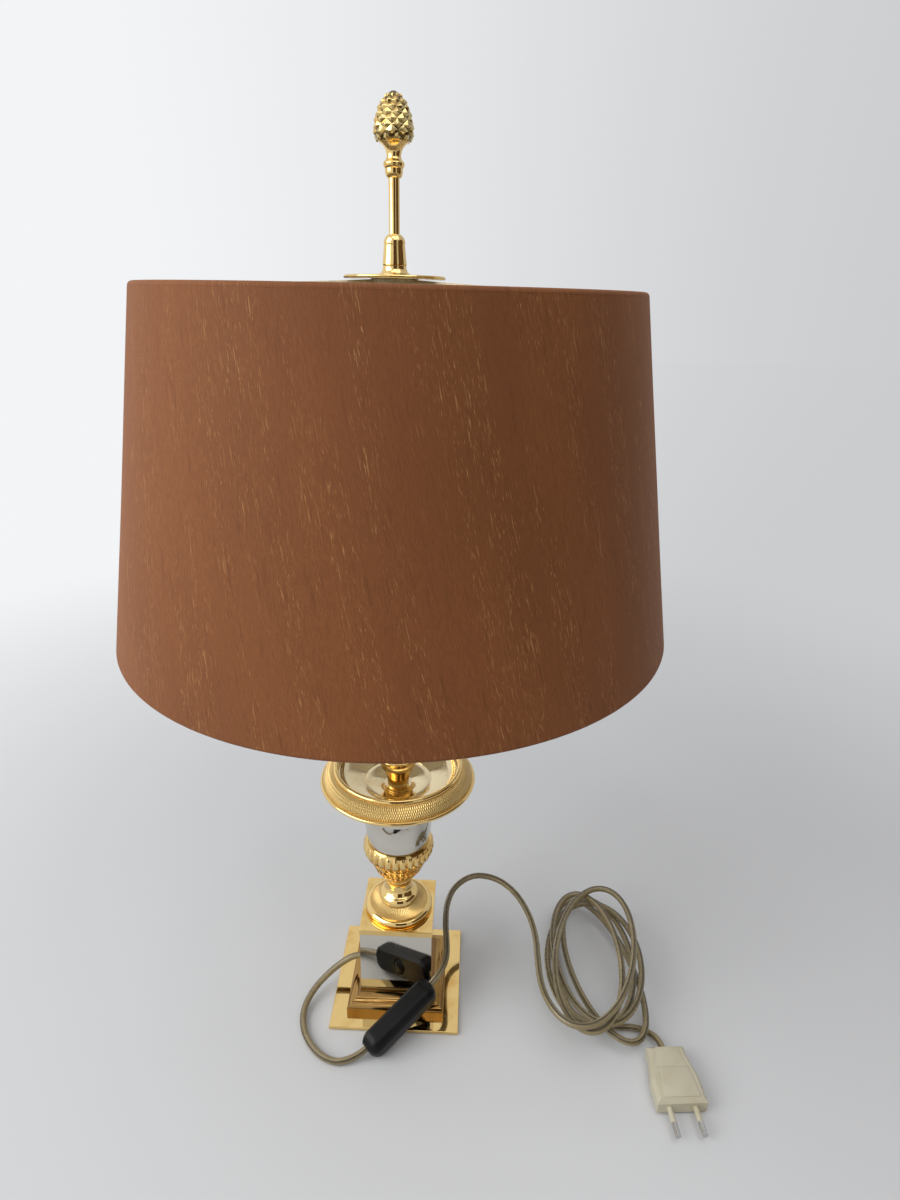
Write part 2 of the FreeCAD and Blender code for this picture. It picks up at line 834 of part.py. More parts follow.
def stem():
    lip_r = "stem_cup_lip_r - 0.5 * stem_cup_lip_tall"
    turned("stem_cup", [
        ("tube_r + fit", "0"),
        ("stem_cup_foot_r", "0"),
        ("stem_cup_neck_r", "stem_cup_neck"),
        ("stem_cup_mid_r", "stem_cup_mid", -0.05),
        (lip_r, "stem_cup_tall - stem_cup_lip_tall", -0.06),
        (lip_r, "stem_cup_tall", 0.5),
        ("tube_r + fit", "stem_cup_tall"),
    ], well_floor)
    turned("stem_tube", plain_ring("tube_r + fit", "stem_r", "stem_tall"), stem_cup_top)


# Cluster: hub, arms, drip cups, candle sleeves, lampholders and bulbs
def cluster_hub():
    body = turned("cluster_hub", [
        ("tube_r + fit", "0"),
        ("hub_neck_r", "0"),
        ("hub_r", "0.5 * hub_tall - 0.5 * hub_band", -0.1),
        ("hub_r", "0.5 * hub_tall + 0.5 * hub_band"),
        ("hub_neck_r", "hub_tall", -0.1),
        ("rod_r + fit", "hub_tall"),
        ("rod_r + fit", "hub_tall - rod_grip"),
        ("tube_r + fit", "hub_tall - rod_grip"),
    ], hub_low)
    seats = cross_hole(body, "YZ_Plane", "arm_r + fit", "0.5 * hub_tall", "2 * hub_r + overrun", "arm_seats")
    seats.Midplane = True


def cluster_arm(side, way):
    body = new_body("cluster_arm_" + side)
    inner = span(way + "hub_r", way + "arm_sink")
    bend = span(way + "arm_reach", way + "arm_bend")
    reach = way + "arm_reach"
    points = [
        (inner, "0"),
        (bend, "0"),
        (reach, "arm_bend"),
        (reach, "arm_bend + arm_rise + drip_thick + arm_grip"),
    ]
    spots = [Vector(number(x_rule), number(y_rule), 0) for x_rule, y_rule in points]
    radius = number("arm_bend")
    centre = spots[1] + Vector(0, radius, 0)
    middle = centre + Vector(number(way + "1"), -1, 0) * (radius * math.sqrt(0.5))
    path = on_plane(body, "XZ_Plane", "arm_path_" + side)
    run = path.addGeometry(Part.LineSegment(spots[0], spots[1]))
    elbow = path.addGeometry(Part.Arc(spots[1], middle, spots[2]))
    riser = path.addGeometry(Part.LineSegment(spots[2], spots[3]))
    near = 1 if path.getPoint(elbow, 1).distanceToPoint(spots[1]) < radius / 2 else 2
    path.addConstraint(Sketcher.Constraint("Coincident", run, 2, elbow, near))
    path.addConstraint(Sketcher.Constraint("Coincident", elbow, 3 - near, riser, 1))
    for geometry, end, spot in ((run, 1, 0), (run, 2, 1), (riser, 1, 2), (riser, 2, 3)):
        hold(path, geometry, end, *points[spot])
    index = path.addConstraint(Sketcher.Constraint("Radius", elbow, radius))
    path.setExpression(f"Constraints[{index}]", bound("arm_bend"))
    section = on_plane(body, "YZ_Plane", "arm_section_" + side)
    section.setExpression("AttachmentOffset.Base.z", bound(inner))
    ring(section, "arm_r")
    ring(section, "arm_bore_r")
    swept_along(body, section, path, "arm_pipe_" + side)
    place(body, z_rule=arm_high)


def candle(side, way):
    neck = "arm_r + fit"
    sleeve = plain_ring("sleeve_r - sleeve_wall", "sleeve_r", "holder_tall - sleeve_drop")
    pieces = [
        turned("candle_cup_" + side, [
            (neck, "0"),
            ("drip_foot_r", "0"),
            ("drip_r", "drip_tall - drip_lip", 0.15),
            ("drip_r", "drip_tall"),
            ("drip_r - drip_lip", "drip_tall"),
            ("sleeve_r + seat", "drip_thick", -0.1),
            (neck, "drip_thick"),
        ], drip_low),
        turned("candle_sleeve_" + side, sleeve, drip_floor),
        turned("lampholder_" + side, [
            (neck, "0"),
            ("holder_r", "0"),
            ("holder_r", "holder_tall"),
            ("socket_r", "holder_tall"),
            ("socket_r", "holder_tall - socket_deep"),
            ("0", "holder_tall - socket_deep"),
            ("0", "holder_lead_room"),
            ("arm_bore_r", "holder_lead_room"),
            ("arm_bore_r", "arm_grip + fit"),
            (neck, "arm_grip + fit"),
        ], drip_floor),
        turned("bulb_cap_" + side, [
            ("0", "0"),
            ("bulb_tip_r", "0"),
            ("bulb_cap_r", "bulb_tip_tall"),
            ("bulb_cap_r", "socket_deep"),
            ("0", "socket_deep"),
        ], bulb_low),
        turned("bulb_glass_" + side, [
            ("0", "0"),
            ("bulb_neck_r", "0"),
            ("bulb_r", "bulb_belly", 0.1),
            ("bulb_shoulder_r", "bulb_shoulder", 0.12),
            ("bulb_point_r", "bulb_tall", -0.08),
            ("0", "bulb_tall"),
        ], bulb_low + " + socket_deep"),
    ]
    for piece in pieces:
        place(piece, way + "arm_reach")


def height_rod():
    rod = round_bar("rod_cylinder", "rod_r", span(rod_top, rod_low), ("0", "0", rod_low))
    keep(rod, "height_rod")
    hexagon_nut("rod_nut", "rod_nut_flats", "rod_r + fit", "rod_nut_thick", hub_top)


# Shade: cloth hemmed over two wire rings, its lining, and the spider frame
shade_tall = "shade_high - shade_low"
hem = "wire_r + hem_room + cloth_thick"
high_mid = span(shade_tall, hem)
wrap = "cloth_thick + 2 * wire_r + 2 * hem_room"
wire_inset = "cloth_thick + hem_room + wire_r"


def shade_cloth():
    low_in = span("shade_low_r", wrap)
    high_in = span("shade_high_r", wrap)
    turned("shade_cloth", [
        (low_in + " - cloth_thick", hem),
        ("shade_low_r", hem, 0.5),
        ("shade_high_r", high_mid),
        (high_in + " - cloth_thick", high_mid, 0.5),
        (high_in, high_mid),
        ("shade_high_r - cloth_thick", high_mid, -0.5),
        ("shade_low_r - cloth_thick", hem),
        (low_in, hem, -0.5),
    ], "shade_low")


def shade_lining():
    # The lining lies on the cloth between the two rings
    low = hem + " + wire_r + seat"
    high = span(high_mid, "spoke_drop + spoke_r + seat")
    wall_tall = number(span(high_mid, hem))

    def wall(level_rule):
        share = number(span(level_rule, hem)) / wall_tall
        return f"{1 - share} * shade_low_r + {share} * shade_high_r - cloth_thick - fit"

    turned("shade_lining", [
        (wall(low) + " - lining_thick", low),
        (wall(low), low),
        (wall(high), high),
        (wall(high) + " - lining_thick", high),
    ], "shade_low")


def shade_frame():
    low_ring = keep(doc.addObject("Part::Torus", "low_ring"), "shade_bottom_ring")
    low_ring.setExpression("Radius1", bound(span("shade_low_r", wire_inset)))
    low_ring.setExpression("Radius2", bound("wire_r"))
    place(low_ring, z_rule="shade_low + " + hem)

    body = new_body("shade_spider")
    ring_r = span("shade_high_r", wire_inset)
    ring_level = span("shade_low + " + high_mid, spider_low)
    hub_sketch = on_plane(body, "XZ_Plane", "spider_hub_profile")
    outline(hub_sketch, plain_ring("carrier_r + seat", "spider_hub_r", "spider_hub_thick"))
    revolved(body, hub_sketch, "spider_hub")
    points = [
        ("spider_hub_r - spoke_r", "spider_hub_thick - spoke_r - fit"),
        (ring_r, span(ring_level, "spoke_drop")),
    ]
    spots = [Vector(number(x_rule), number(y_rule), 0) for x_rule, y_rule in points]
    path = on_plane(body, "XZ_Plane", "spoke_path")
    line = path.addGeometry(Part.LineSegment(*spots))
    hold(path, line, 1, *points[0])
    hold(path, line, 2, *points[1])
    section = on_plane(body, "YZ_Plane", "spoke_section")
    section.setExpression("AttachmentOffset.Base.z", bound(points[0][0]))
    ring(section, "spoke_r", "0", points[0][1])
    spoke = swept_along(body, section, path, "spoke")
    repeated(body, spoke, "spoke_count", "spokes")
    wire_sketch = on_plane(body, "XZ_Plane", "spider_ring_profile")
    ring(wire_sketch, "wire_r", ring_r, ring_level)
    revolved(body, wire_sketch, "spider_ring")
    body.Placement = Placement(Vector(0, 0, 0), Rotation(number("spoke_turn"), 0, 0))
    place(body, z_rule=spider_low)


# Carrier that slides on the rod: flanged tube, disc, bell nut and clamp screw
def shade_carrier():
    bore = "rod_r + slide_fit"
    stack = "carrier_flange_thick + spider_hub_thick + 2 * fit + disc_thick"
    turned("shade_carrier", [
        (bore, "0"),
        ("carrier_flange_r", "0"),
        ("carrier_flange_r", "carrier_flange_thick"),
        ("carrier_r", "carrier_flange_thick"),
        ("carrier_r", stack + " + carrier_reach"),
        (bore, stack + " + carrier_reach"),
    ], carrier_low)
    turned("shade_disc", [
        ("carrier_r + fit", "0"),
        ("disc_r - 0.5 * disc_thick", "0"),
        ("disc_r - 0.5 * disc_thick", "disc_thick", 0.5),
        ("carrier_r + fit", "disc_thick"),
    ], "disc_low")
    nut = turned("bell_nut", [
        ("carrier_r + fit", "0"),
        ("bell_nut_foot_r", "0"),
        ("bell_nut_foot_r", "bell_nut_foot_tall"),
        ("bell_nut_waist_r", "bell_nut_waist", -0.16),
        ("bell_nut_shoulder_r", "bell_nut_shoulder"),
        ("bell_nut_top_r", "bell_nut_tall", 0.16),
        (bore, "bell_nut_tall"),
        (bore, "carrier_reach + fit"),
        ("carrier_r + fit", "carrier_reach + fit"),
    ], disc_top)
    cross_hole(nut, "XZ_Plane", "clamp_r + fit", "clamp_place", "bell_nut_foot_r", "clamp_hole")

    backward = Rotation(Vector(1, 0, 0), -90)
    level = disc_top + " + clamp_place"
    tip = "rod_r + slide_fit + fit"
    reach = span("clamp_head_place", tip)
    shank = round_bar("clamp_shank", "clamp_r", reach, ("0", tip, level), backward)
    grip = ("0", "clamp_head_place", level)
    head = round_bar("clamp_head", "clamp_head_r", "clamp_head_long", grip, backward)
    keep(combined("Part::Fuse", "clamp", shank, head), "clamp_screw")


def finial():
    bore = "rod_r + slide_fit"
    turned("finial_collar", [
        (bore, "0"),
        ("stop_foot_r", "0"),
        ("stop_bead_r", "stop_bead_top", 0.1),
        ("stop_bead_r", "0.5 * stop_bead_top + 0.5 * stop_ring"),
        ("stop_ring_r", "stop_ring", 0.1),
        ("stop_bead_r", "stop_ring_top", 0.2),
        ("stop_neck_r", "stop_tall", -0.1),
        (bore, "stop_tall"),
    ], "stop_low")
    bore_top = "rod_in_cone + seat"
    turned("pine_finial", [
        (bore, "0"),
        ("stop_neck_r + fit", "0"),
        ("cone_cup_r", "cone_cup", -0.1),
        ("cone_r", "cone_belly", 0.14),
        ("cone_shoulder_r", "cone_shoulder", 0.04),
        ("cone_point_r", "cone_tall", 0.1),
        ("0", "cone_tall"),
        ("0", bore_top),
        (bore, bore_top),
    ], cone_low)


# Cord bush, in-line switch and plug
def cord_bush():
    body = turned("cord_bush", [
        ("cord_r + fit", "0"),
        ("bush_r", "0"),
        ("bush_r", "bush_deep"),
        ("bush_flange_r", "bush_deep"),
        ("bush_flange_r - 0.5 * bush_flange_thick", "bush_deep + bush_flange_thick", 0.2),
        ("cord_r + fit", "bush_deep + bush_flange_thick"),
    ], "bush_high")
    body.Placement = Placement(Vector(0, 0, 0), Rotation(Vector(0, 1, 0), -90))
    place(body, "bush_deep - 0.5 * die_side", "0", "bush_high")


switch_turn = Rotation(number("switch_yaw"), -number("switch_pitch"), -number("switch_roll"))
switch_axis = switch_turn.multVec(Vector(1, 0, 0))
plug_turn = Rotation(-number("plug_yaw"), 0, 0)
plug_axis = plug_turn.multVec(Vector(1, 0, 0))
plug_level = "0.5 * plug_thick + fit"


def switch_outline(sketch):
    end = "0.5 * switch_long"
    half = "0.5 * switch_wide"
    corner_x = end + " - switch_corner"
    corner_y = half + " - switch_corner"
    quarter_bulge = 0.5 * math.tan(math.pi / 8)
    outline(sketch, [
        (corner_x, minus(half)),
        (end, minus(corner_y), quarter_bulge),
        (end, corner_y),
        (corner_x, half, quarter_bulge),
        (minus(corner_x), half),
        (minus(end), corner_y, quarter_bulge),
        (minus(end), minus(corner_y)),
        (minus(corner_x), minus(half), quarter_bulge),
    ])


def switch_shell(label, thick_rule, downward):
    body = new_body(label)
    sketch = on_plane(body, "XY_Plane", label + "_outline")
    switch_outline(sketch)
    pad = padded(body, sketch, thick_rule, label + "_pad")
    pad.Reversed = downward
    doc.recompute()
    names = level_edges(pad.Shape, minus(thick_rule) if downward else thick_rule, any_curve)
    if downward:
        dressed("PartDesign::Fillet", body, pad, names, "switch_back_round", label + "_round")
    else:
        dressed("PartDesign::Chamfer", body, pad, names, "switch_front_bevel", label + "_bevel")
    for name, way in (("near_entry", ""), ("far_entry", "-1 * ")):
        entry = on_plane(body, "YZ_Plane", label + "_" + name)
        inner_end = span(way + "0.5 * switch_long", way + "switch_entry")
        entry.setExpression("AttachmentOffset.Base.z", bound(inner_end))
        ring(entry, "cord_r + fit")
        pocketed(body, entry, "switch_entry + overrun", label + "_" + name + "_hole", way == "")
    body.Placement = Placement(Vector(0, 0, 0), switch_turn)
    place(body, "switch_x", "switch_y", "switch_high")
    return body


def in_line_switch():
    switch_shell("switch_back_shell", "switch_back", True)
    front = switch_shell("switch_front_shell", "switch_front", False)
    well = on_plane(front, "XY_Plane", "rocker_well_circle")
    well.setExpression("AttachmentOffset.Base.z", bound("switch_front - rocker_well"))
    ring(well, "rocker_r + rocker_gap")
    pocketed(front, well, "rocker_well + overrun", "rocker_well", True)

    rocker = turned("switch_rocker", [
        ("0", "0 - rocker_under"),
        ("rocker_side_r", "0 - rocker_under"),
        ("rocker_side_r", "rocker_under", 0.16),
        ("rocker_crown_r", "rocker_under + rocker_proud", 0.06),
        ("0", "rocker_under + rocker_proud"),
    ], "0")
    tilted = switch_turn.multiply(Rotation(Vector(0, 1, 0), number("rocker_tilt")))
    rocker.Placement = Placement(Vector(0, 0, 0), tilted)
    upward = switch_turn.multVec(Vector(0, 0, 1))
    middle = ("switch_x", "switch_y", "switch_high")
    pivot = [spot + " + " + part_of(way, "switch_front - rocker_under") for spot, way in zip(middle, upward)]
    place(rocker, *pivot)


def plug():
    body = new_body("plug_body")
    sketch = on_plane(body, "XY_Plane", "plug_outline")
    rear, front = "0.5 * plug_rear_wide", "0.5 * plug_wide"
    outline(sketch, [
        ("0", minus(rear)),
        ("plug_neck_long", minus(rear)),
        ("plug_shoulder", minus(front)),
        ("plug_long", minus(front)),
        ("plug_long", front),
        ("plug_shoulder", front),
        ("plug_neck_long", rear),
        ("0", rear),
    ])
    pad = padded(body, sketch, "plug_thick", "plug_pad")
    pad.Midplane = True
    doc.recompute()
    names = level_edges(pad.Shape, "0.5 * plug_thick", straight)
    names += level_edges(pad.Shape, "-0.5 * plug_thick", straight)
    dressed("PartDesign::Chamfer", body, pad, names, "plug_bevel", "plug_bevels")
    entry = on_plane(body, "YZ_Plane", "plug_entry")
    ring(entry, "cord_r + fit")
    pocketed(body, entry, "switch_entry", "plug_entry_hole", True)
    roots = on_plane(body, "YZ_Plane", "pin_roots")
    roots.setExpression("AttachmentOffset.Base.z", bound("plug_long - pin_root"))
    for way in ("", "-1 * "):
        ring(roots, "pin_core_r + fit", way + "0.5 * pin_apart")
    pocketed(body, roots, "pin_root + overrun", "pin_root_holes", True)

    forward = Rotation(Vector(0, 1, 0), 90)
    pins = []
    sleeves = []
    for index, way in enumerate(("", "-1 * ")):
        aside = way + "0.5 * pin_apart"
        root = ("plug_long - pin_root + fit", aside)
        face = ("plug_long", aside)
        tip = ("plug_long + pin_sleeve_long", aside)
        core = round_bar(f"pin_core_{index}", "pin_core_r", "pin_root + pin_long - fit", root, forward)
        bare = round_bar(f"pin_tip_{index}", "pin_r", "pin_long - pin_sleeve_long", tip, forward)
        pins.append(combined("Part::Fuse", f"pin_{index}", core, bare))
        sleeve = round_bar(f"sleeve_{index}", "pin_r", "pin_sleeve_long", face, forward)
        bore = round_bar(f"sleeve_bore_{index}", "pin_core_r + fit", "pin_sleeve_long", face, forward)
        sleeves.append(combined("Part::Cut", f"pin_sleeve_{index}", sleeve, bore))
    pin_set = keep(combined("Part::Compound", "pin_set", *pins), "plug_pins")
    sleeve_set = keep(combined("Part::Compound", "sleeve_set", *sleeves), "plug_pin_sleeves")
    for item in (body, pin_set, sleeve_set):
        item.Placement = Placement(Vector(0, 0, 0), plug_turn)
        place(item, "plug_x", "plug_y", plug_level)


# Cords: straight runs joined by tangent arcs, and a hank wound by a formula
def route(label, points, radii=None):
    bends = []
    edges = []
    at = points[0]
    for index in range(1, len(points) - 1):
        corner = points[index]
        before, after = corner - points[index - 1], points[index + 1] - corner
        half_turn = before.getAngle(after) / 2
        shorter = min(before.Length, after.Length)
        bend = radii[index - 1] if radii else 0.45 * shorter / math.tan(half_turn)
        bends.append(round(bend, 1))
        back, onward = before.normalize() * -1, after.normalize()
        reach = bend * math.tan(half_turn)
        inward = (back + onward).normalize()
        middle = corner + inward * (bend / math.cos(half_turn) - bend)
        edges.append(Part.LineSegment(at, corner + back * reach).toShape())
        edges.append(Part.Arc(corner + back * reach, middle, corner + onward * reach).toShape())
        at = corner + onward * reach
    edges.append(Part.LineSegment(at, points[-1]).toShape())
    wire = Part.Wire(edges)
    print(label, "length", round(wire.Length), "radii", bends)
    return wire


def swept(wire, start, direction, radius_rule):
    radius = number(radius_rule)
    section = Part.Wire(Part.Circle(start, direction, radius).toShape())
    solid = wire.makePipeShell([section], True, False)
    print("volume over section times length", round(solid.Volume / (math.pi * radius**2 * wire.Length), 4))
    return solid


def shaped(label, shape):
    item = doc.addObject("Part::Feature", "shape_" + label)
    item.Shape = shape
    keep(item, label)


def lay_cord(label, points):
    shaped(label, swept(route(label, points), points[0], points[1] - points[0], "cord_r"))


def hank_point(turns_done):
    # Long loops that wander as they are laid, from the top one down to the table
    left = number("hank_loops") - turns_done
    around = math.radians(number("hank_start")) + math.tau * turns_done
    swing = number("hank_swing") * math.sin(math.tau * 0.4 * turns_done)
    lie = math.radians(number("hank_turn") * turns_done - number("hank_lie") - swing)
    vary_long = number("hank_vary_long") * math.sin(math.tau * 0.27 * turns_done + 0.3)
    vary_wide = number("hank_vary_wide") * math.cos(math.tau * 0.37 * turns_done)
    near_end = min(1, 2 * left)
    ease = number("hank_ease") * near_end**2 * (3 - 2 * near_end)
    middle = Vector(
        number("hank_x") + number("hank_run_x") * turns_done,
        number("hank_y") + number("hank_run_y") * turns_done,
        number("cord_r + 2 * seat") + number("hank_step") * left + ease,
    )
    long_way = Vector(math.cos(lie), math.sin(lie), 0)
    wide_way = Vector(-math.sin(lie), math.cos(lie), 0)
    along = (number("hank_half_long") + vary_long) * math.cos(around)
    across = (number("hank_half_wide") + vary_wide) * math.sin(around)
    return middle + long_way * along + wide_way * across


def hank_way(turns_done):
    tiny = 1e-4
    back, ahead = max(0, turns_done - tiny), min(number("hank_loops"), turns_done + tiny)
    return (hank_point(ahead) - hank_point(back)).normalize()


def biarc(start, start_way, stop, stop_way):
    # Two arcs that leave and arrive along the given ways and meet smoothly
    chord = stop - start
    along = chord.dot(start_way + stop_way)
    quad = 2 * (1 - start_way.dot(stop_way))
    reach = (math.sqrt(along**2 + quad * chord.dot(chord)) - along) / quad
    first, second = start + start_way * reach, stop - stop_way * reach
    meet = (first + second) * 0.5
    arcs = []
    for begin, corner, end in ((start, first, meet), (meet, second, stop)):
        back, onward = (begin - corner).normalize(), (end - corner).normalize()
        half_turn = (corner - begin).getAngle(end - corner) / 2
        bend = reach / math.tan(half_turn)
        middle = corner + (back + onward).normalize() * (bend / math.cos(half_turn) - bend)
        arcs.append(Part.Arc(begin, middle, end).toShape())
    return arcs


def wound_hank():
    loops = int(number("hank_loops"))
    arcs = []
    for quarter in range(4 * loops):
        now, after = quarter / 4, (quarter + 1) / 4
        arcs += biarc(hank_point(now), hank_way(now), hank_point(after), hank_way(after))
    end_run = number("2 * cord_r")
    first, last = hank_point(0), hank_point(loops)
    start, stop = first - hank_way(0) * end_run, last + hank_way(loops) * end_run
    runs = [Part.LineSegment(start, first).toShape()], [Part.LineSegment(last, stop).toShape()]
    wire = Part.Wire(runs[0] + arcs + runs[1])

    # Least gap between the tube and itself, a quarter turn or more further on
    per_arc = 8
    points = []
    for arc in arcs:
        sweep = arc.LastParameter - arc.FirstParameter
        points += [arc.valueAt(arc.FirstParameter + sweep * step / per_arc) for step in range(per_arc)]
    apart = min(
        point.distanceToPoint(other)
        for index, point in enumerate(points)
        for other in points[index + 2 * per_arc:]
    )
    tightest = min(arc.Curve.Radius for arc in arcs)
    print("cord_hank length", round(wire.Length), "least radius", round(tightest, 1),
          "least gap", round(apart - number("2 * cord_r"), 2))
    shaped("cord_hank", swept(wire, start, hank_way(0), "cord_r"))
    return start, hank_way(0), stop, hank_way(loops)


def cords():
    entry = number("0.5 * switch_long - switch_entry + fit")
    step = number("cord_step")
    middle = Vector(number("switch_x"), number("switch_y"), number("switch_high"))
    low_end, high_end = middle - switch_axis * entry, middle + switch_axis * entry
    bush_end = Vector(number("bush_deep - 0.5 * die_side"), 0, number("bush_high"))
    left_route = [
        (-35, 0, 24.6), (-46.5, -3.5, 19.5), (-57.5, -10, 13), (-68, -21, 7), (-73, -37, 3.5),
        (-69, -54, 2.6), (-59, -68, 2.6), (-47.5, -76, 2.6), (-36, -78.5, 3),
    ]
    left = [bush_end] + [Vector(*point) for point in left_route] + [low_end - switch_axis * step, low_end]
    lay_cord("cord_lamp_to_switch", left)

    hank_start, start_way, hank_stop, stop_way = wound_hank()
    arch_route = [
        (37, -22.5, 39.8), (39.3, -13, 42), (38.6, -1, 44.5), (37, 14, 46.5), (37, 33, 49.5),
        (43, 51, 52.5), (59, 64, 54.5), (79, 62, 54), (94.5, 50.5, 51.5), (104, 36.5, 47.5),
        (110, 21.5, 43),
    ]
    arch = [high_end, high_end + switch_axis * step] + [Vector(*point) for point in arch_route]
    lay_cord("cord_switch_to_hank", arch + [hank_start - start_way * step, hank_start])

    plug_rear = Vector(number("plug_x"), number("plug_y"), number(plug_level))
    plug_end = plug_rear + plug_axis * number("switch_entry - fit")
    tail_route = [
        (141, -29.5, 2.8), (151, -35.5, 2.8), (162.5, -38.2, 2.8), (174.5, -38.4, 2.8),
        (187, -38.2, 3.1), (196.5, -42.8, 5),
    ]
    tail = [hank_stop, hank_stop + stop_way * step] + [Vector(*point) for point in tail_route]
    lay_cord("cord_hank_to_plug", tail + [plug_end - plug_axis * (step + number("switch_entry")), plug_end])


def lamp_leads():
    # Two insulated leads from the bush, up the tie tube and out through the arms
    leads = []
    low, high, end = number("bush_high"), number(arm_high), number(drip_floor + " + lead_end")
    bends = [number("lead_bend"), number("lead_bend"), number("arm_bend")]
    for name, facing in (("left", -1), ("right", 1)):
        side, reach = facing * number("lead_apart"), facing * number("arm_reach")
        points = [
            Vector(number("bush_deep - 0.5 * die_side"), side, low),
            Vector(0, side, low),
            Vector(0, side, high),
            Vector(reach, side, high),
            Vector(reach, side, end),
        ]
        leads.append(swept(route("lead_" + name, points, bends), points[0], Vector(1, 0, 0), "lead_r"))
    shaped("lamp_leads", Part.makeCompound(leads))


base_felt()
base_plate()
base_screws()
base_moulding()
pedestal_die()
cap_slab("cap_band", "cap_band_side", "cap_band_thick", die_top)
cap_slab("cap_plate", "cap_side", "cap_thick", band_top, "cap_round")
pedestal_ballast()
tie_tube()
urn_foot()
gadroon_cup()
urn_bell()
urn_rim()
urn_dish()
stem()
cluster_hub()
for side, way in (("left", "-1 * "), ("right", "")):
    cluster_arm(side, way)
    candle(side, way)
height_rod()
shade_cloth()
shade_lining()
shade_frame()
shade_carrier()
finial()
cord_bush()
in_line_switch()
plug()
cords()
lamp_leads()
doc.recompute()

for item in doc.Objects:
    if "Invalid" in item.State or "Error" in item.State:
        raise RuntimeError(f"{item.Label} failed: {item.State}")
for label, item in nodes.items():
    if item.Shape.isNull() or not item.Shape.isValid() or not item.Shape.Solids:
        raise RuntimeError(f"{label} has no valid solid")

os.makedirs("parts", exist_ok=True)
for label, item in nodes.items():
    item.Shape.exportStep(f"parts/{label}.step")
print(len(nodes), "nodes written")
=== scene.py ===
import math

import bpy
from mathutils import Matrix, Vector


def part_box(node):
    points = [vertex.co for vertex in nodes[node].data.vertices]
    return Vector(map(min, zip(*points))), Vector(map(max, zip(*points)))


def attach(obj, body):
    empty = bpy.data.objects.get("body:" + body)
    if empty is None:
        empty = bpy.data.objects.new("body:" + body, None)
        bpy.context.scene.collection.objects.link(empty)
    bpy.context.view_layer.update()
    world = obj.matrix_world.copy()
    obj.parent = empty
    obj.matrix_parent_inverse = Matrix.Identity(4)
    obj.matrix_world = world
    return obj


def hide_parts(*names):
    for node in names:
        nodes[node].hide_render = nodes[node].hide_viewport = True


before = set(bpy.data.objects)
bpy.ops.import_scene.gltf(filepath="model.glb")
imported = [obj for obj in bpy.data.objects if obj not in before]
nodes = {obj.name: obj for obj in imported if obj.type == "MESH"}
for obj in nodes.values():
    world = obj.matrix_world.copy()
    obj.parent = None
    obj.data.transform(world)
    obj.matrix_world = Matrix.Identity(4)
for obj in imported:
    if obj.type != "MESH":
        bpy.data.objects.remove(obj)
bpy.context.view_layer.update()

mm = 0.001


# Small helpers for objects and edit mode

def clearPick():
    bpy.ops.object.select_all(action="DESELECT")


def pickOnly(*pieces):
    clearPick()
    for piece in pieces:
        piece.select_set(True)
    bpy.context.view_layer.objects.active = pieces[0]


def named(name):
    piece = bpy.context.object
    piece.name = name
    return piece


def settle(piece):
    pickOnly(piece)
    bpy.ops.object.transform_apply(location=True, rotation=True, scale=True)
    return piece


def joined(name, pieces):
    pickOnly(*pieces)
    bpy.ops.object.join()
    return named(name)


def applyAll(piece):
    pickOnly(piece)
    for modifier in list(piece.modifiers):
        bpy.ops.object.modifier_apply(modifier=modifier.name)


def smooth(piece, angle=35):
    pickOnly(piece)
    bpy.ops.object.shade_smooth_by_angle(angle=math.radians(angle))


def setMaterial(piece, material):
    piece.data.materials.clear()
    piece.data.materials.append(material)


def bevelled(piece, width, segments):
    bevel = piece.modifiers.new("softEdges", "BEVEL")
    bevel.width = width * mm
    bevel.segments = segments
    bevel.limit_method = "ANGLE"
    applyAll(piece)


# Camera at the photograph's place and angle; down, turn and roll are in radians
camera = {
    "place": (0.0474646, -0.452336, 0.527497),
    "down": 0.387744,
    "turn": -0.027268,
    "roll": -0.022289,
    "lens": 22.2,
    "tall": 36.0,
    "nearest": 0.01,
}


def addCamera():
    down, turn, roll = camera["down"], camera["turn"], camera["roll"]
    forward = Vector((math.sin(turn) * math.cos(down), math.cos(turn) * math.cos(down), -math.sin(down)))
    level = Vector((math.cos(turn), -math.sin(turn), 0))
    under = forward.cross(level)
    right = level * math.cos(roll) + under * math.sin(roll)
    low = under * math.cos(roll) - level * math.sin(roll)
    clearPick()
    bpy.ops.object.camera_add()
    piece = named("photoCamera")
    axes = Matrix((right, -low, -forward)).transposed().to_4x4()
    piece.matrix_world = Matrix.Translation(camera["place"]) @ axes
    piece.data.sensor_fit = "VERTICAL"
    piece.data.sensor_height = camera["tall"]
    piece.data.lens = camera["lens"]
    piece.data.clip_start = camera["nearest"]
    bpy.context.scene.camera = piece


addCamera()
print("camera placed")


# Helpers for shader nodes; an input is a socket to link or a plain value

def feed(tree, socket, amount):
    if isinstance(amount, bpy.types.NodeSocket):
        tree.links.new(amount, socket)
    elif socket.type == "RGBA":
        socket.default_value = (*amount, 1)
    else:
        socket.default_value = amount


def drive(tree, shader, **inputs):
    for name, amount in inputs.items():
        feed(tree, shader.inputs[name.replace("_", " ")], amount)


def startMaterial(name, **inputs):
    material = bpy.data.materials.new(name)
    material.use_nodes = True
    tree = material.node_tree
    shader = tree.nodes["Principled BSDF"]
    drive(tree, shader, **inputs)
    return material, tree, shader


def addNode(tree, kind, settings=None, **inputs):
    # An input called in0, in1 and so on is found by its place, any other by its label
    item = tree.nodes.new(kind)
    for key, amount in (settings or {}).items():
        setattr(item, key, amount)
    for key, amount in inputs.items():
        counted = key.startswith("in") and key[2:].isdigit()
        feed(tree, item.inputs[int(key[2:]) if counted else key.replace("_", " ")], amount)
    return item


def calc(tree, how, first, second=0.0, third=0.0):
    return addNode(tree, "ShaderNodeMath", {"operation": how}, in0=first, in1=second, in2=third).outputs[0]


